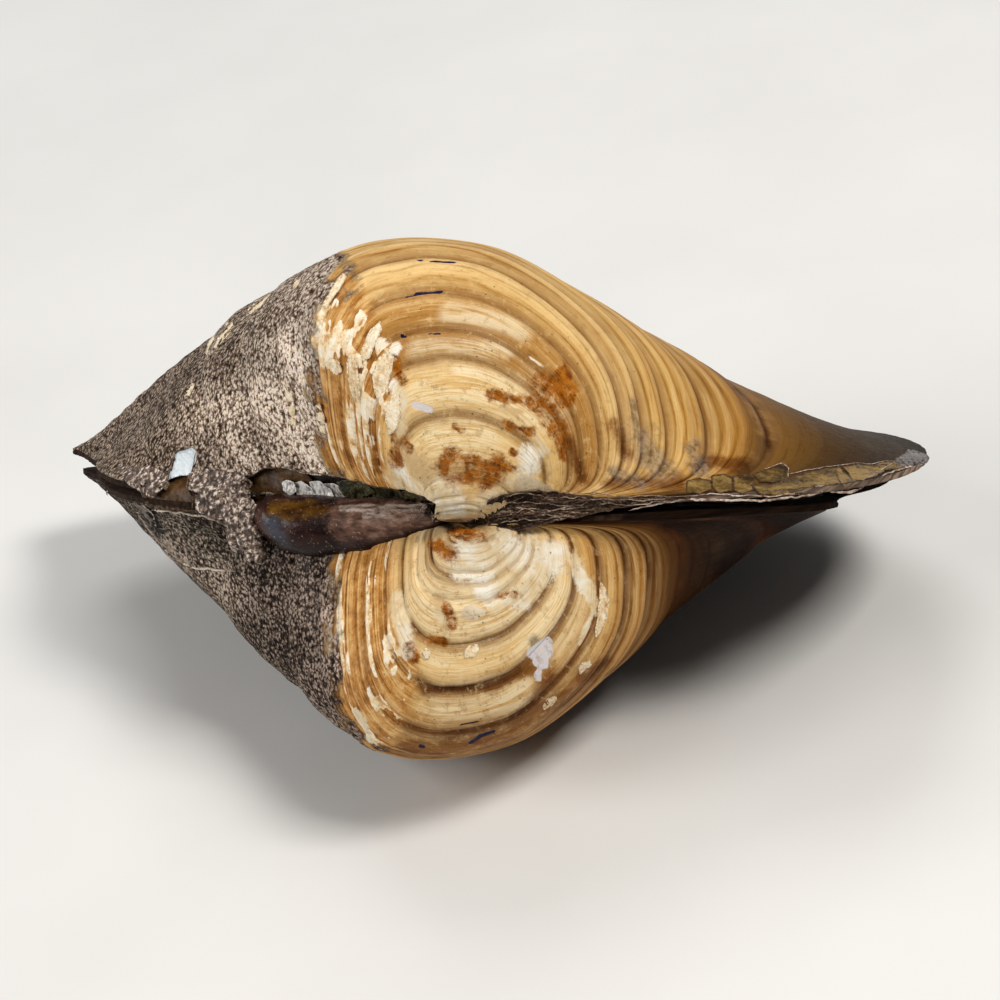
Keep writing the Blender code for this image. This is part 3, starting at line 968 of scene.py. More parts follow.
def band_colour(g):
    """The colour of the growth bands: painted highlights on their swells and on the ribs' crests, painted
    shade low on the swells, brown stain with painted shade in the troughs, and darker lines in the grooves
    between the ribs.
    """
    tones = g.tones
    swell = g.attribute("swell")
    ribbed = g.attribute("ribbed")
    from_groove = g.math("PINGPONG", g.attribute("phase"), 0.5)
    bright = g.span(g.age, tones["dull"], tones["dull"] + 0.12)
    colour = g.ramp(g.times(g.age, 0.5), [(place / 2, shade) for place, shade in tones["bands"]])
    # Painted light: lighter on each band's swell, and painted shade where the swell is low.
    colour = g.scale(colour, g.span(swell, 0.40, 0.95, 0.92, 1.12))
    colour = g.mix(g.span(swell, 0.55, 0.05, 0, tones["shadow"]), colour, g.tint(colour, WARM_SHADE))
    dark_lines = g.times(g.span(g.tone, 0.49, 0.38), g.span(g.age, 0.9, 1.3, 0.55, 0.30))
    colour = g.mix(dark_lines, colour, g.tint(colour, WARM_LINE))
    colour = g.mix(g.times(g.span(g.tone, 0.50, 0.60, 0, 0.35), bright), colour, tones["pale"])
    # Painted highlight along the ribs' crests.
    painted_crest_highlight = g.times(g.times(g.span(from_groove, 0.14, 0.36, 0, 0.30), ribbed), bright)
    colour = g.mix(painted_crest_highlight, colour, tones["pale"])
    warm = g.times(g.span(g.cloud, 0.45, 0.7, 0, 0.5), bright)
    colour = g.mix(warm, colour, g.mix(0.5, colour, tones["warm"]))
    rib_line = g.times(g.span(from_groove, 0.16, 0.02), ribbed)
    rib_line = g.times(rib_line, g.span(g.cloud, 0.38, 0.60, 0.35, 0.85))
    colour = g.mix(rib_line, colour, g.tint(colour, WARM_LINE))
    # Brown stain in the troughs by the rest rings, darkened further as painted shade.
    trough = g.times(g.attribute("trough"), g.span(g.cloud, 0.40, 0.60, 0.40, 0.95))
    colour = g.mix(g.times(trough, 0.90), colour, tones["trough"])
    ring_line = g.times(g.attribute("groove"), g.span(g.age, 0.85, 1.25, tones["line"], 0.15))
    return g.mix(ring_line, colour, tones["groove"])


def with_cream_and_highlights(g, colour):
    """Pale cream patches with painted highlights on the bands' crests, and brown stains with painted shade.
    """
    cream_and_highlight = g.math("ADD", g.attribute("cream_and_highlight"), g.times(g.math("SUBTRACT", g.cloud, 0.5), 0.6))
    cream_and_highlight = g.times(g.span(cream_and_highlight, 0.0, 0.8, 0, 0.60), g.span(g.attribute("swell"), 0.30, 0.90, 0.2, 1.0))
    colour = g.mix(cream_and_highlight, colour, g.mix(g.span(g.lines, 0.40, 0.56), CREAM_HIGHLIGHT_DARK, CREAM_HIGHLIGHT_PALE))
    # Brown stains and painted shade.
    return g.mix(g.marked("stain_and_shade", 2.0, 0.45), colour, g.tint(colour, STAIN_AND_SHADE_DARK))


def with_scales(g, colour):
    """The loose brown layer between the crust and the umbo, with its pale scales."""
    uneven = g.total((g.torn, 0.5), (g.lines, 0.5))
    colour = g.mix(g.times(g.marked("zone", 0.9, 0.35), 0.85), colour, g.ramp(uneven, LOOSE_STOPS))
    scales = g.ragged(g.attribute("scales"), uneven, 2.6, 0.18)
    return g.mix(scales, colour, g.ramp(g.patchy, SCALE_STOPS))


def with_chalk(g, colour):
    """Bare chalk, browner in the beak's folds and along the growth lines; gives its share too."""
    chalk = g.marked("chalk", 2.0, 0.20)
    chalk_colour = g.ramp(g.cloud, CHALK_STOPS)
    chalk_colour = g.mix(g.span(g.attribute("wrinkle"), 0.40, 0.10, 0, 0.6), chalk_colour, CHALK_FOLD)
    chalk_colour = g.mix(g.span(g.lines, 0.44, 0.36, 0, 0.45), chalk_colour, CHALK_LINE)
    return g.mix(chalk, colour, chalk_colour), chalk


def with_spots(g, colour):
    """Rust, grey smudges, chips and bare pearl."""
    rust = g.times(g.marked("rust", 2.2, 0.22), g.span(g.patchy, 0.36, 0.52, 0.35, 0.98))
    colour = g.mix(rust, colour, g.ramp(g.total((g.grain, 0.5), (g.lines, 0.5)), RUST_STOPS))
    smudge = g.times(g.marked("smudge", 2.6, 0.4), 0.6)
    colour = g.mix(smudge, colour, g.ramp(g.grain, SMUDGE_STOPS))
    colour = g.mix(g.marked("chip", 1.6, 0.06), colour, g.ramp(g.cloud, CHIP_STOPS))
    return g.mix(g.marked("pearl", 0.7, 0.08), colour, PEARL)


def with_wear(g, colour):
    """Worn dark and rubbed pale patches, and small dark pits; gives the wear and the pits too."""
    worn = g.noise(1700.0, 6, 0.74, g.stretched(1.0, 0.9, 0.7))
    dark = g.times(g.span(worn, 0.46, 0.36, 0, 0.45), g.span(g.age, 0.50, 1.30, 0.25, 1.0))
    colour = g.mix(dark, colour, g.tint(colour, WORN_DARK))
    rubbed = g.times(g.span(worn, 0.54, 0.66, 0, 0.35), g.span(g.age, 0.60, 1.30))
    colour = g.mix(rubbed, colour, g.tones["pale"])
    pits = g.times(g.span(g.pebbles(1700.0), 0.14, 0.07), g.span(g.speck, 0.49, 0.55, 0, 0.75))
    pits = g.times(pits, g.span(g.age, 0.45, 1.0))
    return g.mix(pits, colour, g.mix(0.5, g.scale(colour, 0.25), g.tones["groove"])), worn, pits


def with_crust(g, colour):
    """The pebbly crust: dark gaps, grey-brown pebbles, pale grains with painted glints on the pebbles' tops;
    gives its share and mottle too.
    """
    bright = g.attribute("bright")
    mottle = g.total(
        (g.grain, 0.15), (g.speck, 0.38), (g.cloud, 0.20), (g.lines, 0.22), (g.pebbles(3300.0), -0.34),
        (g.pebbles(6600.0), -0.18))
    mottle = g.total((mottle, 1.0), (bright, 0.05), (g.span(g.age, 0.25, 0.85), 0.04))
    mottle = g.math("ADD", mottle, 0.290)
    tip = g.ramp(mottle, g.tones["crust_tip"])
    crust_colour = g.mix(g.span(g.age, 0.20, 0.75), tip, g.ramp(mottle, g.tones["crust"]))
    crust_colour = g.scale(crust_colour, g.span(bright, 0.0, 0.9, g.tones["crust_light"], 1.9))
    crust = g.marked("crust", 1.9, 0.28)
    return g.mix(crust, colour, crust_colour), crust, mottle


def with_slits(g, colour):
    """Shade at the beaks, blue-black remains of skin, and the layered wall at a broken edge."""
    colour = g.mix(g.marked("shade", 0.8, 0.30), colour, g.scale(colour, 0.07))
    colour = g.mix(g.marked("slit", 0.8, 0.08), colour, SLIT_BLUE)
    wall = g.ramp(g.noise(1500.0, 3, 0.6, g.stretched(0.3, 0.3, 3.0)), WALL_STOPS)
    return g.mix(g.span(g.attribute("skirt"), 0.05, 0.2), colour, wall)


def valve_material(name, tones):
    """Growth-banded periostracum with its crust, stains, chalky umbo and chips, with painted highlights and
    painted shade.
    """
    g = ValveGraph(name, tones)
    colour = with_scales(g, with_cream_and_highlights(g, band_colour(g)))
    colour, chalk = with_chalk(g, colour)
    colour, worn, pits = with_wear(g, with_spots(g, colour))
    colour, crust, mottle = with_crust(g, colour)
    colour = with_slits(g, colour)
    least_rough = g.span(g.age, 0.0, 1.0, 0.32, 0.22)
    rough = g.total((g.grain, 0.30), (crust, 0.30), (chalk, 0.10), (least_rough, 1.0))
    normal = g.bump(g.total((g.lines, 0.9), (g.grain, 0.25), (pits, -0.5), (worn, 0.8)), 0.00012)
    normal = g.bump(g.times(mottle, crust), 0.0009, normal)
    g.gloss(0.02, 0.05, 0.25)
    return g.finish(colour, rough, normal)


LEFT_TONES = {
    # The bands' stops hold their colour, with paler stops as painted highlights on the band crests, darker
    # ones as painted shade in the troughs, and the near-black front end partly painted shade.
    "bands": (
        (0.00, (0.012, 0.006, 0.001)), (0.10, (0.022, 0.010, 0.002)), (0.20, (0.055, 0.025, 0.004)),
        (0.27, (0.150, 0.070, 0.012)), (0.31, (0.200, 0.095, 0.016)), (0.33, (0.04, 0.016, 0.003)),
        (0.355, (0.05, 0.020, 0.004)), (0.40, (0.32, 0.150, 0.028)),
        (0.50, (0.46, 0.245, 0.055)), (0.59, (0.48, 0.260, 0.062)), (0.67, (0.60, 0.360, 0.105)),
        (0.74, (0.53, 0.310, 0.090)), (0.82, (0.76, 0.520, 0.220)), (0.88, (0.44, 0.230, 0.060)),
        (0.96, (0.78, 0.540, 0.240)), (1.04, (0.60, 0.360, 0.120)), (1.11, (0.44, 0.220, 0.056)),
        (1.22, (0.40, 0.190, 0.044)), (1.33, (0.36, 0.170, 0.044)), (1.42, (0.64, 0.400, 0.150)),
        (1.51, (0.72, 0.460, 0.170)), (1.60, (0.78, 0.530, 0.230)), (1.67, (0.38, 0.220, 0.080)),
        (1.76, (0.80, 0.560, 0.250)), (1.95, (0.74, 0.520, 0.250)),
    ),
    "pale": (0.90, 0.66, 0.32),
    "warm": (0.55, 0.24, 0.02),
    "groove": (0.07, 0.026, 0.004),
    "shadow": 0.70,
    "line": 0.75,
    "lip": (0.30, 0.21, 0.155),
    "crust_light": 1.15,
    "dull": 0.36,
    "trough": (0.34, 0.175, 0.055),
    # The crust's palest stops: pale grains with painted glints on the pebbles' tops.
    "crust": (
        (0.39, (0.030, 0.018, 0.013)), (0.45, (0.12, 0.080, 0.057)), (0.53, (0.31, 0.230, 0.175)),
        (0.62, (0.78, 0.66, 0.55)),
    ),
    "crust_tip": (
        (0.39, (0.018, 0.011, 0.007)), (0.45, (0.070, 0.045, 0.031)), (0.53, (0.20, 0.145, 0.106)),
        (0.62, (0.55, 0.450, 0.360)),
    ),
}
RIGHT_TONES = {
    # The bands' stops hold their colour, with paler stops as painted highlights on the band crests, darker
    # ones as painted shade in the troughs, and the near-black front end partly painted shade under the left
    # valve.
    "bands": (
        (0.00, (0.012, 0.004, 0.001)), (0.40, (0.018, 0.006, 0.001)), (0.55, (0.040, 0.014, 0.002)),
        (0.65, (0.110, 0.044, 0.008)), (0.74, (0.25, 0.105, 0.019)), (0.84, (0.42, 0.190, 0.038)),
        (0.92, (0.28, 0.120, 0.025)), (0.99, (0.44, 0.215, 0.050)), (1.06, (0.60, 0.350, 0.115)),
        (1.12, (0.34, 0.155, 0.040)), (1.17, (0.46, 0.225, 0.060)), (1.25, (0.56, 0.320, 0.100)),
        (1.31, (0.50, 0.280, 0.080)), (1.345, (0.30, 0.125, 0.028)), (1.40, (0.62, 0.380, 0.140)),
        (1.48, (0.80, 0.560, 0.260)), (1.54, (0.62, 0.390, 0.150)), (1.62, (0.72, 0.490, 0.215)),
        (1.74, (0.58, 0.370, 0.160)), (1.84, (0.86, 0.680, 0.400)), (1.95, (0.60, 0.430, 0.230)),
    ),
    "pale": (0.90, 0.67, 0.34),
    "warm": (0.42, 0.17, 0.02),
    "groove": (0.05, 0.017, 0.003),
    "shadow": 0.95,
    "line": 0.30,
    # The lip near black: painted shade under the left valve's margin.
    "lip": (0.012, 0.005, 0.002),
    "crust_light": 1.0,
    "dull": 0.66,
    "trough": (0.12, 0.036, 0.005),
    # The crust's palest stops: pale grains with painted glints on the pebbles' tops.
    "crust": (
        (0.40, (0.008, 0.005, 0.004)), (0.48, (0.050, 0.032, 0.024)), (0.545, (0.17, 0.115, 0.088)),
        (0.64, (0.55, 0.430, 0.350)),
    ),
    "crust_tip": (
        (0.40, (0.006, 0.004, 0.003)), (0.48, (0.030, 0.021, 0.015)), (0.545, (0.10, 0.074, 0.056)),
        (0.64, (0.36, 0.290, 0.230)),
    ),
}


# Colours of the inside, in its middle and at the margin, where painted shade darkens it.
NACRE_STOPS = ((0.3, (0.30, 0.20, 0.12)), (0.5, (0.62, 0.56, 0.50)), (0.7, (0.78, 0.76, 0.76)))
NACRE_MARGIN_SHADE_STOPS = ((0.35, (0.006, 0.003, 0.002)), (0.65, (0.035, 0.018, 0.010)))


def nacre_material(name, lip_colour):
    """The smooth pearly inside, darkened at the margin as painted shade between the valves, with the layered
    edge at the lip.
    """
    g = Graph(name)
    cloud = g.noise(180.0, 4, 0.55)
    fine = g.noise(1500.0, 3, 0.5)
    edge = g.span(g.attribute("edge"), 0.0, 0.6)
    colour = g.mix(edge, g.ramp(cloud, NACRE_STOPS), g.ramp(fine, NACRE_MARGIN_SHADE_STOPS))
    layers = g.noise(900.0, 3, 0.6, g.stretched(0.25, 0.25, 4.0))
    lip = g.ragged(g.attribute("lip"), g.noise(700.0, 4, 0.7), 1.0, 0.15)
    lip_dark = tuple(0.3 * channel for channel in lip_colour)
    colour = g.mix(lip, colour, g.ramp(layers, ((0.42, lip_dark), (0.60, lip_colour))))
    g.gloss(0.05)
    rough = g.total((g.span(cloud, 0.3, 0.7, 0.35, 0.5), 1.0), (edge, 0.35))
    return g.finish(colour, rough, g.bump(g.math("ADD", cloud, fine), 0.00008))


# The thin layers: stops of place on the mottle with their colours, then the colour of the broken edge.
SCALE_LAYER = (
    ((0.36, (0.46, 0.26, 0.11)), (0.46, (0.80, 0.60, 0.36)), (0.58, (0.95, 0.87, 0.70))), (0.82, 0.68, 0.46))
LAYERS = {
    "bare_nacre": (
        ((0.34, (0.50, 0.58, 0.64)), (0.50, (0.70, 0.77, 0.82)), (0.66, (0.86, 0.90, 0.93))),
        (0.80, 0.84, 0.86)),
    # Brown inside, darkened as painted shade.
    "brown_shaded_floor": (
        ((0.34, (0.020, 0.008, 0.003)), (0.50, (0.062, 0.028, 0.009)), (0.66, (0.13, 0.070, 0.025))),
        (0.05, 0.022, 0.010)),
    # A near-black sheet of painted shade.
    "shade_black_floor": (((0.34, (0.004, 0.003, 0.002)), (0.66, (0.022, 0.014, 0.008))), (0.01, 0.006, 0.004)),
    # Their dark edge colour is painted shadow under the flakes' rims.
    "olive_flakes": (
        ((0.40, (0.030, 0.016, 0.004)), (0.48, (0.11, 0.062, 0.014)), (0.60, (0.31, 0.200, 0.065))),
        (0.08, 0.042, 0.018)),
    "broken_edge": (
        ((0.38, (0.08, 0.035, 0.022)), (0.48, (0.36, 0.25, 0.19)), (0.60, (0.82, 0.74, 0.66))),
        (0.80, 0.72, 0.66)),
    "grey_pearl": (
        ((0.38, (0.03, 0.022, 0.018)), (0.50, (0.10, 0.086, 0.080)), (0.62, (0.24, 0.22, 0.21))),
        (0.10, 0.08, 0.07)),
    "torn_curls": (
        ((0.38, (0.03, 0.016, 0.010)), (0.50, (0.14, 0.090, 0.062)), (0.62, (0.50, 0.38, 0.30))),
        (0.25, 0.17, 0.12)),
    "glassy_fragments": (
        ((0.38, (0.05, 0.038, 0.030)), (0.47, (0.34, 0.30, 0.27)), (0.56, (0.86, 0.85, 0.83))),
        (0.75, 0.73, 0.70)),
    "dark_debris": (
        ((0.40, (0.006, 0.005, 0.002)), (0.50, (0.035, 0.030, 0.012)), (0.62, (0.16, 0.14, 0.07))),
        (0.10, 0.085, 0.05)),
    "hind_edge": (
        ((0.34, (0.10, 0.065, 0.045)), (0.46, (0.42, 0.34, 0.27)), (0.58, (0.74, 0.66, 0.56))),
        (0.6, 0.5, 0.4)),
    "hind_flap": (
        ((0.38, (0.025, 0.018, 0.014)), (0.50, (0.11, 0.085, 0.068)), (0.62, (0.30, 0.25, 0.21))),
        (0.40, 0.33, 0.27)),
    "hind_fibres": (
        ((0.40, (0.03, 0.026, 0.018)), (0.50, (0.14, 0.12, 0.09)), (0.60, (0.46, 0.42, 0.34))),
        (0.3, 0.27, 0.2)),
    "hinge_fibres": (
        ((0.43, (0.004, 0.002, 0.001)), (0.50, (0.022, 0.012, 0.008)), (0.56, (0.085, 0.052, 0.034)),
         (0.63, (0.50, 0.37, 0.27))),
        (0.09, 0.055, 0.035)),
    "hinge_strands": (
        ((0.40, (0.03, 0.018, 0.012)), (0.50, (0.22, 0.15, 0.11)), (0.62, (0.62, 0.50, 0.40))),
        (0.4, 0.3, 0.22)),
    "pale_scales": SCALE_LAYER,
    "pale_chips": SCALE_LAYER,
}


def layer_material(name, rough=(0.35, 0.55), stretch=(1, 1, 1), scale=900.0, coat=0.05):
    """A thin flake or a torn layer, mottled along its grain, with a paler or darker broken edge; the olive
    flakes' dark edge is painted shadow.
    """
    stops, edge_colour = LAYERS[name]
    g = Graph(name)
    place = g.stretched(*stretch)
    cloud = g.noise(scale * 0.4, 4, 0.65, place)
    fine = g.noise(scale * 2.2, 4, 0.65, place)
    speck = g.noise(scale * 5.0, 2, 0.6)
    colour = g.ramp(g.total((cloud, 0.4), (fine, 0.4), (speck, 0.2)), stops)
    torn = g.math("ADD", g.attribute("edge"), g.times(g.math("SUBTRACT", fine, 0.5), 0.8))
    broken = g.math("MAXIMUM", g.span(torn, 0.45, 0.85), g.span(g.attribute("skirt"), 0.02, 0.3, 0, 0.8))
    colour = g.mix(broken, colour, g.scale(edge_colour, g.span(speck, 0.35, 0.65, 0.5, 1.2)))
    g.gloss(0.08, coat, 0.2)
    normal = g.bump(g.total((fine, 0.6), (speck, 0.4)), 0.00020)
    return g.finish(colour, g.span(fine, 0.35, 0.65, rough[0], rough[1]), normal)


# The grid of a valve's inside, the steps down its rim, and where around it the lip shows.
CAVITY_ROWS = 40
CAVITY_COLUMNS = 440
RIM_ROUGHNESS = 0.15
RIM_STEPS = (1.0, 0.75, 0.5, 0.25, 0.0)
HUB_STEPS = (0.6, 0.3, 0.02)
HUB_HEIGHT = 0.3
LIP_START = (0.075, 0.10)
LIP_END = (0.30, 0.36)


def inner_surface(side):
    """The rim and the hollow of a valve: rings from the outer margin in and up to the umbo."""
    around = np.arange(CAVITY_COLUMNS) / CAVITY_COLUMNS
    margin = growth_surface(margin_age(around, side), around)
    top = lifted(margin)
    outward = margin - np.roll(margin, 1, axis=0)
    outward = np.stack([outward[:, 1], -outward[:, 0], outward[:, 0] * 0], axis=1)
    outward /= np.maximum(np.linalg.norm(outward, axis=1, keepdims=True), 1e-9)
    rings = []
    for step in RIM_STEPS:
        ring = top * np.array((1, 1, step))
        uneven = noise(np.stack([top[:, 0], top[:, 1], top[:, 0] * 0 + 3 * step], axis=1), 0.9, 90, 2)
        rings.append(ring + outward * (RIM_ROUGHNESS * uneven * math.sin(math.pi * step))[:, None])
    edges = [1.0] * len(RIM_STEPS)
    for age in np.linspace(0, CAVITY_LAST_AGE, CAVITY_ROWS):
        ring = growth_surface(np.full_like(around, age), around)
        ring[:, 0] = CAVITY_CENTRE_X + CAVITY_LENGTH * (ring[:, 0] - CAVITY_CENTRE_X)
        ring[:, 1] = HINGE_PLATE + CAVITY_HEIGHT * ring[:, 1]
        ring[:, 2] = CAVITY_DEPTH * ring[:, 2]
        rings.append(ring)
        edges.append(max(0.9 - 3 * age, 0))
    middle = rings[-1].mean(axis=0)
    for share in HUB_STEPS:
        rings.append(middle + share * (rings[-1] - middle) + np.array((0, 0, HUB_HEIGHT * (1 - share))))
        edges.append(0)
    points = in_place(np.array(rings), side)
    edge = np.repeat(np.array(edges)[:, None], CAVITY_COLUMNS, axis=1)
    lip = smooth(around, *LIP_START) * (1 - smooth(around, *LIP_END)) * (edge > 0.95)
    return points, {"edge": edge, "lip": lip}


# The holes through the left valve's skin, and what shows behind them, in pixels of the photograph.
HIND_HOLE = (
    (173, 457), (175, 451), (183, 450), (191, 447), (196, 452), (195, 463), (190, 476), (187, 487),
    (193, 500), (191, 511), (213, 518), (226, 524), (228, 532), (190, 527), (156, 513), (147, 503),
    (152, 496), (158, 490), (167, 481), (165, 477), (171, 469),
)
HINGE_HOLE = (
    (246, 478), (256, 472), (268, 467), (284, 468), (301, 473), (340, 477), (372, 486), (400, 489),
    (424, 496), (436, 505), (434, 520), (262, 514), (257, 498), (249, 489),
)
NACRE_PATCH = (
    (160, 440), (206, 438), (208, 455), (200, 474), (190, 475), (180, 476), (168, 480), (160, 479),
)
HIND_FLOOR = (
    (132, 470), (150, 440), (215, 440), (225, 480), (245, 505), (242, 526), (222, 521), (213, 517),
    (190, 512), (160, 510), (144, 503),
)
BROWN_FLOOR = (
    (236, 485), (240, 462), (290, 458), (312, 480), (305, 512), (270, 524), (246, 505),
)
DARK_FLOOR = (
    (285, 462), (345, 468), (400, 480), (445, 494), (450, 524), (300, 520), (280, 500),
)

# How ragged the holes are and a value far from any, in pixels, and how thick their floors are, in mm.
HOLE_RAG = 1.6
UNCUT = 50.0
FLOOR_THICKNESS = 0.25

# The wall drawn down at a hole's edge, in mm, and the last ring's size at the beak, as a share.
HOLE_WALL = 0.35
BEAK_HOLE = 0.05


def hole_value(pixels, facing):
    """Above 0 where the left valve's skin is whole, below 0 in its holes, in pixels."""
    depth = np.maximum(inside_distance(pixels, HIND_HOLE), inside_distance(pixels, HINGE_HOLE))
    depth = depth + HOLE_RAG * flat_noise(pixels, 9.0, 61, 3)
    return np.where(facing > SKIN_FACING, -depth, UNCUT)


def add_outside(name, side, marks, tones):
    """A valve's outer surface; gives the skin that the photograph shows."""
    points, attributes, facing = valve_surface(side, marks)
    skin = Skin(points, facing)
    beak = points[-1].mean(axis=0)
    points[-1] = beak + BEAK_HOLE * (points[-1] - beak)
    faces = grid_faces(*points.shape[:2])
    flat = points.reshape(-1, 3)
    fields = {label: values.ravel() for label, values in attributes.items()}
    if side == LEFT:
        inward = -grid_normals(points).reshape(-1, 3) * HOLE_WALL
        keep = hole_value(photo_pixels(points), facing).ravel()
        flat, faces, fields = cut_sheet(flat, faces, keep, fields, inward)
    else:
        faces = faces[:, ::-1]
    material = valve_material(name + "_periostracum", tones)
    add_piece(name + "_outside", (flat, faces, fields), material, (name,))
    return skin


def add_inside(name, side, tones):
    """A valve's rim and hollow."""
    points, attributes = inner_surface(side)
    faces = grid_faces(*points.shape[:2])
    flat = points.reshape(-1, 3)
    fields = {label: values.ravel() for label, values in attributes.items()}
    if side == LEFT:
        near_rim = np.arange(points.shape[0])[:, None] < len(RIM_STEPS) + 2
        facing = np.where(np.repeat(near_rim, points.shape[1], axis=1), 1.0, -1.0)
        keep = hole_value(photo_pixels(points), facing).ravel()
        flat, faces, fields = cut_sheet(flat, faces[:, ::-1], keep, fields, np.zeros_like(flat))
    material = nacre_material(name + "_nacre", tones["lip"])
    add_piece(name + "_inside", (flat, faces, fields), material, (name,))


def add_valve(name, side, marks, tones):
    """One valve: its outer surface and its inside; gives the skin that the photograph shows."""
    skin = add_outside(name, side, marks, tones)
    add_inside(name, side, tones)
    return skin


def add_layer(name, parts, slot, layer, **how):
    """A piece made of thin parts, in the material of its layer."""
    add_piece(name, joined(parts), layer_material(layer, **how))


def floor_sheet(outline, skin, below, seed):
    """What shows behind a hole: a sheet a little under the skin."""
    sunk = below + FLOOR_THICKNESS
    return plate(outline, skin, 0, seed, rag=1.0, step=2.0, raised=-below, sunk=sunk, rough=0.06)


def add_floors(skin):
    """The white nacre in the holes of the left valve, the brown inside behind them darkened as painted
    shade, and a near-black sheet of painted shade in the recess.
    """
    slot = "left_valve_shell"
    nacre = floor_sheet(NACRE_PATCH, skin, 0.28, 71)
    add_layer("left_valve_nacre_patch", [nacre], slot, "bare_nacre", rough=(0.3, 0.45), stretch=(1, 1, 2.5),
              coat=0.3)
    floors = [floor_sheet(HIND_FLOOR, skin, 0.9, 72), floor_sheet(BROWN_FLOOR, skin, 0.9, 73)]
    add_layer("left_valve_hole_floor", floors, slot, "brown_shaded_floor", rough=(0.35, 0.5), scale=500.0)
    add_layer("left_valve_recess_floor", [floor_sheet(DARK_FLOOR, skin, 1.4, 74)], slot, "shade_black_floor")


# The flakes and torn layers of the left valve: outlines in pixels of the photograph, thicknesses in mm.
RIM_FLAKES = (
    (((686, 480), (698, 477), (711, 480), (713, 490), (700, 494), (687, 492)), 0.1),
    (((712, 476), (724, 473), (733, 477), (732, 491), (718, 493), (712, 488)), 0.14),
    (((733, 477), (744, 473), (755, 476), (754, 490), (742, 495), (733, 490)), 0.1),
    (((752, 474), (764, 469), (782, 463), (789, 468), (788, 478), (775, 483), (760, 482)), 0.2),
    (((750, 484), (768, 484), (784, 480), (802, 473), (820, 469), (838, 467), (843, 480), (848, 488),
     (826, 487), (806, 493), (784, 496), (760, 495)), 0.14),
    (((834, 471), (838, 466), (852, 479), (856, 487), (846, 490), (840, 482)), 0.24),
    (((840, 466), (856, 464), (874, 465), (888, 464), (884, 472), (868, 479), (860, 486), (852, 486),
     (848, 474)), 0.17),
    (((872, 464), (890, 460), (908, 464), (918, 465), (904, 468), (886, 471)), 0.12),
)
TIP_FLAKE = (
    (895, 459), (905, 453), (908, 449), (918, 451), (927, 455), (930, 458), (927, 463), (917, 466),
    (903, 467), (892, 463),
)
CRUST_LOBES = (
    (((118, 468), (150, 466), (170, 476), (160, 490), (153, 498), (140, 491), (126, 484)), 0.12),
    (((188, 474), (206, 468), (232, 472), (247, 478), (245, 494), (230, 500), (206, 498), (191, 490)),
     0.14),
    (((194, 494), (212, 496), (232, 498), (244, 506), (236, 520), (228, 524), (213, 517), (196, 511)),
     0.22),
)
SCALES = (
    (((205, 354), (208, 343), (214, 335), (221, 328), (231, 319), (234, 326), (227, 337), (218, 346),
     (210, 356)), 0.16),
    (((247, 310), (256, 301), (268, 295), (278, 292), (273, 300), (262, 307), (250, 314)), 0.12),
    (((290, 286), (295, 279), (301, 282), (297, 289)), 0.14),
    (((322, 306), (328, 294), (336, 282), (343, 272), (347, 276), (341, 288), (333, 299), (326, 309)),
     0.08),
    (((185, 395), (188, 387), (193, 382), (195, 388), (190, 396)), 0.08),
    (((284, 384), (289, 382), (294, 400), (296, 425), (291, 425), (286, 402)), 0.12),
    (((315, 405), (320, 403), (325, 418), (326, 434), (320, 432), (316, 417)), 0.12),
    (((316, 322), (320, 318), (326, 322), (325, 332), (319, 333)), 0.08),
    (((324, 362), (331, 357), (339, 362), (342, 371), (337, 375), (328, 371)), 0.1),
    (((346, 362), (352, 354), (357, 362), (359, 380), (361, 398), (355, 403), (349, 388)), 0.1),
    (((360, 352), (366, 338), (374, 326), (381, 320), (382, 330), (376, 344), (370, 358), (363, 362)),
     0.08),
    (((372, 372), (379, 358), (388, 350), (394, 356), (392, 372), (386, 390), (378, 400), (373, 388)), 0.1),
    (((384, 408), (392, 396), (400, 392), (401, 410), (396, 430), (388, 436)), 0.08),
)

# Lines of broken edge, flake edges, hole edges and torn curls, in pixels.
LIP_LINE = (
    (628, 510), (645, 507), (665, 502), (685, 499), (715, 500), (744, 500), (761, 501), (782, 499),
    (805, 496), (827, 490), (836, 491), (848, 492), (861, 488), (868, 483), (886, 474), (904, 469),
    (918, 466), (928, 461),
)
LIP_UPPER_LINE = (
    (690, 495), (715, 494), (744, 496), (775, 496), (800, 491), (822, 486), (846, 487), (864, 480),
    (884, 470),
)
FLAKE_LINES = (
    ((764, 469), (782, 463), (789, 468), (788, 478), (783, 481)),
    ((788, 474), (802, 471), (818, 468), (838, 465), (855, 463), (873, 464), (879, 462), (890, 460)),
    ((835, 471), (843, 482), (848, 490)),
    ((866, 480), (872, 474), (888, 466), (896, 461)),
)
HOLE_LINES = (
    ((196, 452), (195, 463), (190, 476), (187, 487), (193, 500), (191, 511)),
    ((153, 496), (158, 490), (167, 481), (171, 469), (174, 456)),
    ((262, 468), (284, 467), (301, 472), (340, 476), (372, 485)),
)
TORN_CURLS = (
    ((243, 494), (240, 487), (243, 481), (249, 479), (253, 483), (250, 488)),
    ((216, 500), (219, 494), (225, 493), (229, 497)),
    ((228, 503), (233, 498), (238, 500)),
    ((206, 516), (214, 519), (224, 524), (235, 529)),
)

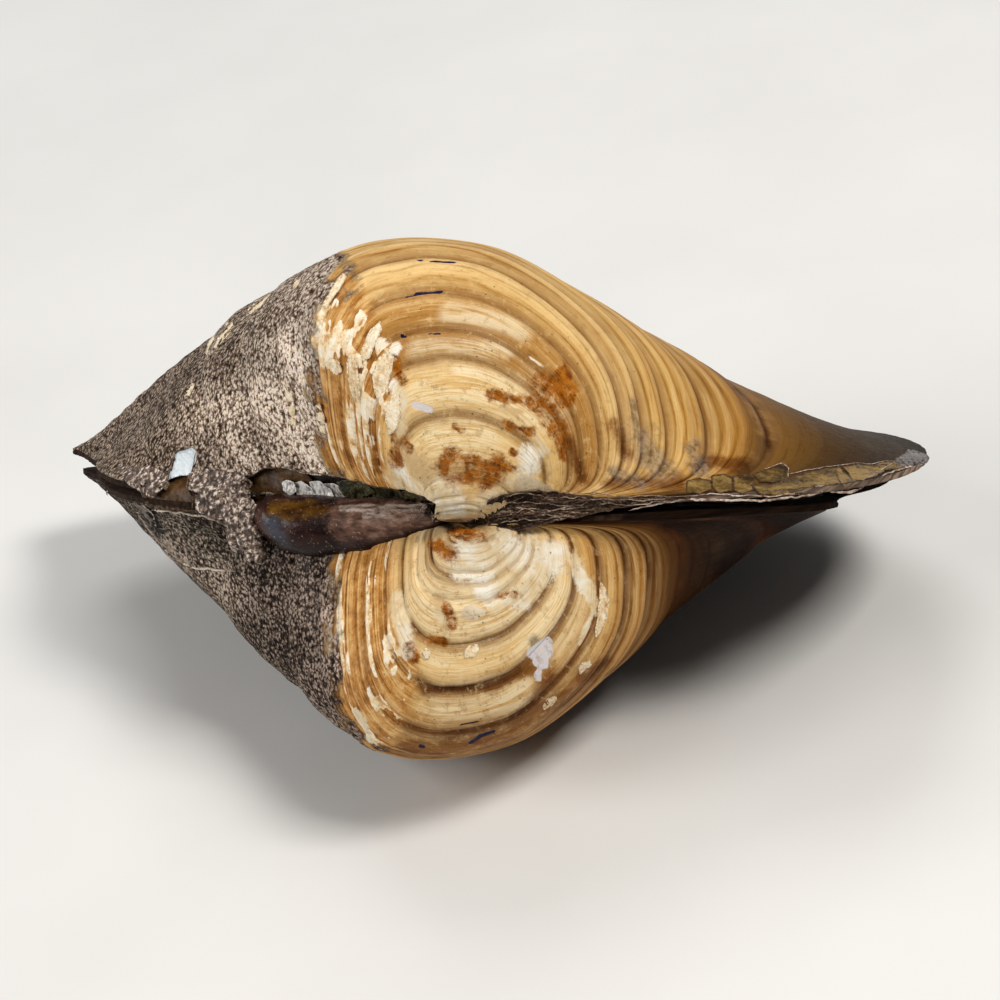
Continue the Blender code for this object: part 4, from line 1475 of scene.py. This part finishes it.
# What is in the recess over the ligament: outlines in pixels, and heights over the skin in mm.
RECESS_DEPTH = 0.9
FRAGMENTS = (
    (((282, 482), (287, 479), (294, 482), (297, 491), (291, 496), (283, 491)), 0.75),
    (((292, 484), (301, 481), (312, 488), (317, 499), (308, 503), (298, 497)), 0.5),
    (((309, 482), (320, 481), (331, 490), (337, 502), (325, 504), (315, 494)), 0.35),
    (((324, 484), (334, 483), (345, 490), (349, 503), (340, 505), (332, 496)), 0.2),
)
DEBRIS = (
    (((336, 482), (350, 479), (366, 483), (375, 492), (362, 499), (345, 497)), 0.55),
    (((362, 484), (380, 486), (398, 490), (404, 497), (388, 500), (370, 496)), 0.4),
    (((392, 490), (408, 491), (424, 497), (420, 502), (402, 501)), 0.3),
)

# The right valve's chips, torn hind edge and threads: outlines and lines in pixels, thicknesses in mm.
CHIPS = (
    (((600, 580), (606, 588), (609, 602), (607, 618), (600, 633), (594, 641), (596, 622), (599, 600)),
     0.08),
    (((578, 668), (583, 662), (590, 660), (592, 665), (586, 671), (580, 674)), 0.07),
    (((542, 706), (547, 699), (556, 695), (557, 700), (550, 707), (544, 711)), 0.07),
    (((421, 652), (426, 647), (431, 651), (430, 659), (424, 661)), 0.06),
    (((463, 652), (469, 645), (478, 644), (480, 650), (473, 657), (465, 658)), 0.06),
)
HIND_EDGE_LINES = (
    ((117, 484), (125, 498), (140, 515), (155, 534), (166, 550), (180, 562), (192, 567), (212, 569),
     (234, 572)),
    ((151, 510), (170, 511), (201, 516), (222, 522), (236, 529)),
    ((226, 585), (222, 598), (227, 606)),
)
HIND_FLAP = (
    (118, 484), (128, 488), (142, 503), (152, 512), (158, 530), (166, 550), (155, 538), (140, 518),
    (126, 502),
)
HIND_THREADS = (
    ((116, 479), (110, 480), (106, 484), (110, 488), (106, 492), (108, 497)),
    ((112, 477), (106, 479), (104, 485), (106, 489)),
    ((118, 480), (113, 485), (115, 491)),
)
HIND_FIBRES = (
    ((152, 514), (175, 520), (200, 526), (222, 536)),
    ((156, 520), (180, 524), (205, 533), (228, 543)),
    ((158, 528), (185, 530), (210, 541), (232, 552)),
    ((160, 535), (180, 538), (200, 546), (222, 558)),
    ((165, 541), (188, 546), (210, 555), (236, 563)),
    ((170, 549), (190, 552), (208, 560), (228, 566)),
    ((163, 524), (176, 534), (192, 540), (206, 550)),
    ((176, 516), (196, 530), (214, 534), (238, 548)),
    ((158, 517), (172, 528), (184, 544), (196, 556)),
    ((200, 522), (212, 530), (226, 548), (240, 556)),
)

# The fibrous layers of the hinge: outlines in pixels with thicknesses in mm, and the strands on them.
HINGE_BANDS = (
    (((466, 525), (473, 519), (483, 512), (492, 505), (504, 499), (520, 497), (520, 520), (505, 530),
     (488, 530), (474, 528)), 0.12),
    (((486, 503), (503, 494), (527, 491), (547, 491), (575, 494), (614, 498), (590, 501), (560, 504),
     (520, 508), (492, 512)), 0.18),
    (((480, 511), (500, 508), (540, 503), (590, 499), (632, 498), (660, 497), (694, 496), (690, 499),
     (660, 502), (630, 507), (580, 511), (530, 515), (490, 518)), 0.26),
    (((484, 517), (520, 513), (570, 510), (625, 507), (600, 513), (566, 519), (540, 526), (518, 531),
     (500, 531), (488, 525)), 0.2),
)
HINGE_LINES = (
    ((545, 489), (575, 493), (600, 494), (640, 497), (690, 496)),
    ((600, 503), (630, 506), (660, 502), (690, 499)),
    ((497, 505), (520, 502), (560, 505), (590, 503)),
    ((530, 515), (560, 508), (590, 506)),
    ((505, 496), (530, 494), (560, 498)),
    ((485, 520), (500, 512), (530, 510), (560, 516), (572, 514)),
    ((560, 497), (600, 499), (640, 501), (668, 499)),
    ((515, 507), (545, 510), (575, 508)),
    ((500, 524), (520, 519), (545, 520), (565, 517)),
)

# The ligament: place along the shell, height of its middle and half height, in mm.
LIGAMENT_SECTIONS = (
    (-1.6, -0.05, 0.15), (-2.4, -0.2, 0.45), (-3.1, -0.3, 0.8), (-4.2, -0.45, 1.1), (-5.9, -0.75, 1.5),
    (-9.2, -1.1, 1.95), (-14.3, -1.35, 2.2), (-17.3, -1.05, 1.85), (-18.5, -0.85, 1.3), (-18.95, -0.8, 0.7),
    (-19.1, -0.8, 0.15),
)
LIGAMENT_FRONT = -1.6
LIGAMENT_LENGTH = 17.5
LIGAMENT_CENTRE = (0.3, 2.2)
LIGAMENT_HALF_DEPTH = 1.9
LIGAMENT_SMOOTHING = 9
LIGAMENT_ROWS = 170
LIGAMENT_COLUMNS = 90
LIGAMENT_MARKS = {
    "amber": (
        (275, 509, 300, 506, 5), (300, 508, 322, 509, 6), (285, 515, 300, 513, 5),
    ),
    # Painted blue sheen, a reflection.
    "sheen": (
        (272, 525, 282, 545, 7),
    ),
    "matte": (
        (352, 522, 430, 518, 20), (335, 512, 360, 508, 6),
    ),
    "flaky": (
        (342, 508, 425, 508, 3.5), (365, 517, 390, 512, 3),
    ),
}

# The crumbs: pixels with a radius in mm, and the lump in the shell's own axes that they lie on.
CRUMB_COLUMN = (
    (236, 488, 0.4), (243, 495, 0.5), (238, 503, 0.55), (247, 508, 0.6), (241, 515, 0.6), (250, 520, 0.65),
    (244, 528, 0.6), (253, 533, 0.65), (247, 540, 0.6), (256, 546, 0.6), (252, 553, 0.5), (260, 557, 0.45),
    (232, 508, 0.4), (236, 522, 0.4), (258, 512, 0.45), (228, 517, 0.35),
)
CRUMB_RAISE = 0.5
CRUMB_SHAPE = np.array((1.15, 1, 1.2))
CORE_CENTRE = (-20.7, 2.5, -1.6)
CORE_RADII = (1.1, 1.6, 2.1)
BEAK_CRUMBS = (
    (((418, 508), (426, 504), (433, 508), (430, 516), (421, 516)), 0.5),
    (((430, 513), (438, 512), (440, 520), (433, 523)), 0.5),
)


def add_left_valve_details(skin):
    """The left valve's flakes, torn layers and broken edge, and the curls at its holes."""
    slot = "left_valve_shell"
    flakes = plates(RIM_FLAKES, skin, 300)
    add_layer("left_valve_rim_flakes", flakes, slot, "olive_flakes", stretch=(0.5, 0.5, 1.4), scale=600.0)
    edge = [ribbon(LIP_LINE, skin, 0.15, 320), ribbon(LIP_UPPER_LINE, skin, 0.08, 324, raised=0.12)]
    edge += ribbons(FLAKE_LINES, skin, 0.05, 330, raised=0.16, sway=0.8)
    add_layer("left_valve_broken_edge", edge, slot, "broken_edge", scale=1400.0)
    tip = plate(TIP_FLAKE, skin, 0.12, 340, rag=0.8)
    add_layer("left_valve_tip_flake", [tip], slot, "grey_pearl", rough=(0.25, 0.4), coat=0.15)
    lobes = plates(CRUST_LOBES, skin, 350, rag=2.0, rough=0.12)
    add_piece("left_valve_crust_lobes", joined(lobes), crumb_material("crust_lobes"))
    scales = plates(SCALES, skin, 380, rag=1.2, step=1.2)
    add_layer("left_valve_scales", scales, slot, "pale_scales", stretch=(1.6, 1, 0.6), scale=1200.0)
    curls = ribbons(TORN_CURLS, skin, 0.16, 360, raised=0.22)
    curls += ribbons(HOLE_LINES, skin, 0.08, 370, raised=0.06)
    add_layer("left_valve_torn_curls", curls, slot, "torn_curls", scale=1500.0)


def recess_plates(shapes, skin, seed, **how):
    """Plates that stand in the recess, from its floor to their own heights over the skin."""
    how.update(step=1.2, sunk=RECESS_DEPTH)
    return [
        plate(outline, skin, 0.1, seed + number, raised=height - RECESS_DEPTH, **how)
        for number, (outline, height) in enumerate(shapes)
    ]


def add_recess_details(skin):
    """The glassy fragments and the dark debris above the ligament."""
    slot = "left_valve_shell"
    shards = recess_plates(FRAGMENTS, skin, 400, rag=1.0, curl=0.12, rough=0.10)
    add_layer("left_valve_fragments", shards, slot, "glassy_fragments", rough=(0.12, 0.3),
              stretch=(2.5, 1, 0.6), coat=0.5)
    debris = recess_plates(DEBRIS, skin, 410, rag=2.2, rough=0.22)
    add_layer("left_valve_debris", debris, slot, "dark_debris", rough=(0.3, 0.6), scale=1500.0)


def add_right_valve_details(skin):
    """The right valve's chips, torn pale edge, its flap with its fibres, and the threads that hang there."""
    slot = "right_valve_shell"
    chips = plates(CHIPS, skin, 490, rag=1.0, step=1.2)
    add_layer("right_valve_chips", chips, slot, "pale_chips", stretch=(1.6, 1, 0.6), scale=1200.0)
    edge_material = layer_material("hind_edge", scale=1500.0)
    lines = ribbons(HIND_EDGE_LINES, skin, 0.17, 430, raised=0.08)
    add_piece("right_valve_hind_edge", joined(lines), edge_material)
    flap = plate(HIND_FLAP, skin, 0.12, 440)
    add_layer("right_valve_hind_flap", [flap], slot, "hind_flap", rough=(0.5, 0.8), scale=1400.0)
    fibres = ribbons(HIND_FIBRES, skin, 0.06, 530, sway=3.0)
    add_layer("right_valve_hind_fibres", fibres, slot, "hind_fibres", scale=2500.0)
    threads = ribbons(HIND_THREADS, skin, 0.09, 450, raised=0.15, sway=2.5, squash=1.0)
    add_piece("right_valve_threads", joined(threads), edge_material)


def add_hinge(skin):
    """The dark fibrous layers that close the hinge line in front of the beaks."""
    bands = plates(HINGE_BANDS, skin, 460, rag=1.6, sunk=0.8, rough=0.10)
    add_layer("hinge_fibres", bands, "ligament_horn", "hinge_fibres", rough=(0.5, 0.8),
              stretch=(0.15, 1.0, 2.2), scale=1300.0, coat=0.0)
    strands = ribbons(HINGE_LINES, skin, 0.06, 520, raised=0.32, sway=2.5)
    add_layer("hinge_strands", strands, "ligament_horn", "hinge_strands", scale=1500.0)


def ligament_profile():
    """The ligament's place along the shell, height of its middle and half height, smoothed."""
    sections = np.array(LIGAMENT_SECTIONS)
    place = np.linspace(0, len(sections) - 1, LIGAMENT_ROWS)
    reach = LIGAMENT_SMOOTHING
    window = np.exp(-(np.arange(-reach, reach + 1) / (reach / 2)) ** 2)
    window /= window.sum()
    profile = []
    for column in range(3):
        values = np.interp(place, np.arange(len(sections)), sections[:, column])
        profile.append(np.convolve(np.pad(values, reach, mode="edge"), window, mode="valid"))
    return profile


def ligament_part():
    """The horny ligament, a spindle that is thin at the beaks and blunt behind, with its wrinkles."""
    x, middle, half = ligament_profile()
    angle = 2 * math.pi * np.arange(LIGAMENT_COLUMNS) / LIGAMENT_COLUMNS
    back = np.clip((x - LIGAMENT_FRONT) / (-LIGAMENT_LENGTH), 0, 1)
    centre = LIGAMENT_CENTRE[0] + back * (LIGAMENT_CENTRE[1] - LIGAMENT_CENTRE[0])
    depth = LIGAMENT_HALF_DEPTH * (half / half.max()) ** 0.75
    points = np.stack([
        np.repeat(x[:, None], LIGAMENT_COLUMNS, axis=1),
        centre[:, None] + depth[:, None] * np.cos(angle),
        middle[:, None] + half[:, None] * np.sin(angle),
    ], axis=-1)
    outward = grid_normals(points)
    if np.sum(outward * (points - points.mean(axis=(0, 1)))) < 0:
        outward = -outward
    pixels = photo_pixels(points)
    fields = {kind: stroke_mask(pixels, strokes) for kind, strokes in LIGAMENT_MARKS.items()}
    fields["top"] = np.repeat(np.sin(angle)[None], LIGAMENT_ROWS, axis=0)
    wrinkle = noise(points * np.array((0.35, 1, 1)), 0.7, 470, 3)
    layers = 1 + noise(points * np.array((0.5, 1, 1)), 0.5, 472, 2)
    height = 0.06 * wrinkle + 0.10 * noise(points, 2.2, 471, 2)
    height = height + 0.10 * smooth(fields["flaky"], 0.40, 0.6) * layers
    points = (points + outward * height[..., None]).reshape(-1, 3)
    points, faces, _ = closed_grid(points, LIGAMENT_ROWS, LIGAMENT_COLUMNS)
    return points, faces, {name: values.ravel() for name, values in fields.items()}


# Colours of the ligament and of the crumbs.
HORN_STOPS = ((0.35, (0.006, 0.002, 0.002)), (0.50, (0.026, 0.009, 0.007)), (0.65, (0.07, 0.028, 0.015)))
MAUVE_STOPS = ((0.38, (0.045, 0.021, 0.014)), (0.50, (0.145, 0.076, 0.052)), (0.62, (0.34, 0.22, 0.165)))
AMBER_STOPS = ((0.38, (0.05, 0.018, 0.002)), (0.62, (0.34, 0.16, 0.015)))
FLAKY_STOPS = ((0.38, (0.10, 0.06, 0.045)), (0.60, (0.52, 0.42, 0.36)))
# Painted blue sheen, a reflection; and the underside's painted shade.
PAINTED_SHEEN_BLUE = (0.055, 0.070, 0.095)
HORN_UNDERSIDE_SHADE = (0.010, 0.004, 0.004)
HORN_SPECK = (0.55, 0.45, 0.36)
CRUMB_STOPS = (
    (0.27, (0.018, 0.010, 0.007)), (0.34, (0.10, 0.060, 0.042)), (0.41, (0.30, 0.215, 0.165)),
    (0.48, (0.85, 0.74, 0.64)),
)


def ligament_material():
    """Maroon horn, glossy, with amber patches and a painted blue sheen behind, painted shade on its
    underside, mauve and dull towards the beaks.
    """
    g = Graph("ligament_horn_surface")
    along = g.stretched(0.35, 1.0, 1.0)
    cloud = g.noise(420.0, 4, 0.6, along)
    fine = g.noise(2200.0, 4, 0.65, along)
    speck = g.noise(5200.0, 2, 0.6)
    torn = g.noise(700.0, 5, 0.7)
    matte = g.ragged(g.attribute("matte"), torn, 1.6, 0.35)
    colour = g.mix(matte, g.ramp(cloud, HORN_STOPS), g.ramp(g.total((cloud, 0.4), (fine, 0.6)), MAUVE_STOPS))
    amber = g.times(g.ragged(g.attribute("amber"), torn, 2.2, 0.45), 0.8)
    colour = g.mix(amber, colour, g.ramp(cloud, AMBER_STOPS))
    sheen = g.times(g.ragged(g.attribute("sheen"), torn, 1.0, 0.40), 0.7)
    colour = g.mix(sheen, colour, PAINTED_SHEEN_BLUE)
    flaky = g.ragged(g.attribute("flaky"), torn, 1.8, 0.12)
    colour = g.mix(flaky, colour, g.ramp(fine, FLAKY_STOPS))
    # Painted shade on the underside.
    colour = g.mix(g.span(g.attribute("top"), -0.15, -0.75, 0, 0.85), colour, HORN_UNDERSIDE_SHADE)
    colour = g.mix(g.span(speck, 0.66, 0.72, 0, 0.5), colour, HORN_SPECK)
    rough = g.math("ADD", g.total((matte, 0.26), (fine, 0.20)), 0.10, True)
    g.gloss(0.04, 0.09, 0.12)
    return g.finish(colour, rough, g.bump(g.total((fine, 0.7), (speck, 0.3)), 0.00012))


def crumb_material(name):
    """Crumbled grey-brown crust with pale grains."""
    g = Graph(name)
    grain = g.noise(2200.0, 4, 0.7)
    speck = g.noise(5200.0, 3, 0.65)
    mottle = g.total((grain, 0.5), (speck, 0.5), (g.pebbles(2600.0), -0.26))
    return g.finish(g.ramp(mottle, CRUMB_STOPS), g.span(grain, 0.35, 0.65, 0.5, 0.8), g.bump(mottle, 0.0005))


def add_ligament(skin):
    """The ligament and its crumbled back end, in place of the solids' plain ones."""
    add_piece("ligament_horn", ligament_part(), ligament_material(), ("ligament",))
    material = crumb_material("crumbled_horn")
    pixels = np.array([(x, y) for x, y, _ in CRUMB_COLUMN], float)
    centres = from_photo(pixels, skin.depth(pixels) + CRUMB_RAISE)
    crumbs = []
    for number, (centre, (_, _, radius)) in enumerate(zip(centres, CRUMB_COLUMN)):
        crumbs.append(crumb(centre, radius * CRUMB_SHAPE, 480 + number))
    core = crumb(CORE_CENTRE, CORE_RADII, 499, rows=40, columns=48, uneven=0.28)
    add_piece("ligament_crumbs", joined(crumbs + [core]), material, ("ligament_stub",))
    beak_crumbs = plates(BEAK_CRUMBS, skin, 510, rag=1.2, step=1.2, sunk=0.9, rough=0.15)
    add_piece("ligament_beak_crumbs", joined(beak_crumbs), material)


def add_camera():
    """The photograph's camera."""
    right, up, forward = photo_axes()
    place = row_place(-PHOTO_DISTANCE * forward)
    camera = bpy.data.objects.new("camera", bpy.data.cameras.new("camera"))
    bpy.context.scene.collection.objects.link(camera)
    columns = [LEAN @ axis for axis in (right, up, -forward)]
    turn = Matrix([[column[row] for column in columns] for row in range(3)])
    camera.matrix_world = Matrix.Translation(Vector(place)) @ turn.to_4x4()
    camera.data.sensor_width = SENSOR_WIDTH
    camera.data.lens = PHOTO_SCALE * PHOTO_DISTANCE * SENSOR_WIDTH / PHOTO_SIZE
    camera.data.shift_x = (PHOTO_SIZE / 2 - PHOTO_BEAK[0]) / PHOTO_SIZE
    camera.data.shift_y = (PHOTO_BEAK[1] - PHOTO_SIZE / 2) / PHOTO_SIZE
    camera.data.clip_start = 0.01
    camera.data.clip_end = 10
    bpy.context.scene.camera = camera


# Soft square lights: azimuth and elevation in degrees, distance and size in metres, power in watts, colour.
LIGHTS = {
    "key": (85, 50, 0.45, 0.12, 1.60, (1.0, 0.96, 0.90)),
    "left": (-35, 40, 0.5, 0.25, 0.9, (1.0, 0.98, 0.95)),
    "side": (-68, 14, 0.5, 0.15, 0.8, (1.0, 0.97, 0.93)),
    "back": (-150, 55, 0.5, 0.25, 0.9, (1.0, 1.0, 1.0)),
}
LIGHT_TARGET = Vector((0, 0, 0.018))
FLOOR_HALF = 3.0
FLOOR_STOPS = ((0.3, (0.70, 0.70, 0.69)), (0.7, (0.74, 0.74, 0.73)))
SKY_COLOUR = (1.0, 0.985, 0.96, 1)
SKY_STRENGTH = 0.11


def add_light(name, azimuth, elevation, distance, size, power, colour):
    """A square soft light that looks at the shell."""
    azimuth, elevation = math.radians(azimuth), math.radians(elevation)
    level = math.cos(elevation)
    back = Vector((math.sin(azimuth) * level, -math.cos(azimuth) * level, math.sin(elevation)))
    data = bpy.data.lights.new(name, "AREA")
    data.size = size
    data.energy = power
    data.color = colour
    light = bpy.data.objects.new(name, data)
    bpy.context.scene.collection.objects.link(light)
    light.location = LIGHT_TARGET + back * distance
    light.rotation_euler = (-back).to_track_quat("-Z", "Y").to_euler()


def add_floor():
    """A plain pale floor."""
    corners = [(x * FLOOR_HALF, y * FLOOR_HALF, 0) for x, y in ((-1, -1), (1, -1), (1, 1), (-1, 1))]
    data = bpy.data.meshes.new("floor")
    data.from_pydata(corners, [], [(0, 1, 2, 3)])
    g = Graph("floor")
    fine = g.noise(40.0, 3, 0.5)
    rough = g.span(fine, 0.3, 0.7, 0.7, 0.8)
    data.materials.append(g.finish(g.ramp(fine, FLOOR_STOPS), rough, g.bump(fine, 0.0001)))
    floor = bpy.data.objects.new("floor", data)
    bpy.context.scene.collection.objects.link(floor)


def add_sky():
    """A plain pale sky."""
    world = bpy.data.worlds.new("world")
    world.use_nodes = True
    background = world.node_tree.nodes["Background"]
    background.inputs["Color"].default_value = SKY_COLOUR
    background.inputs["Strength"].default_value = SKY_STRENGTH
    bpy.context.scene.world = world


left_skin = add_valve("left_valve", LEFT, LEFT_MARKS, LEFT_TONES)
right_skin = add_valve("right_valve", RIGHT, RIGHT_MARKS, RIGHT_TONES)
add_floors(left_skin)
add_left_valve_details(left_skin)
add_recess_details(left_skin)
add_right_valve_details(right_skin)
add_hinge(left_skin)
add_ligament(left_skin)
add_camera()
add_floor()
add_sky()
for light_name, settings in LIGHTS.items():
    add_light(light_name, *settings)
bpy.context.scene.view_settings.view_transform = "Standard"
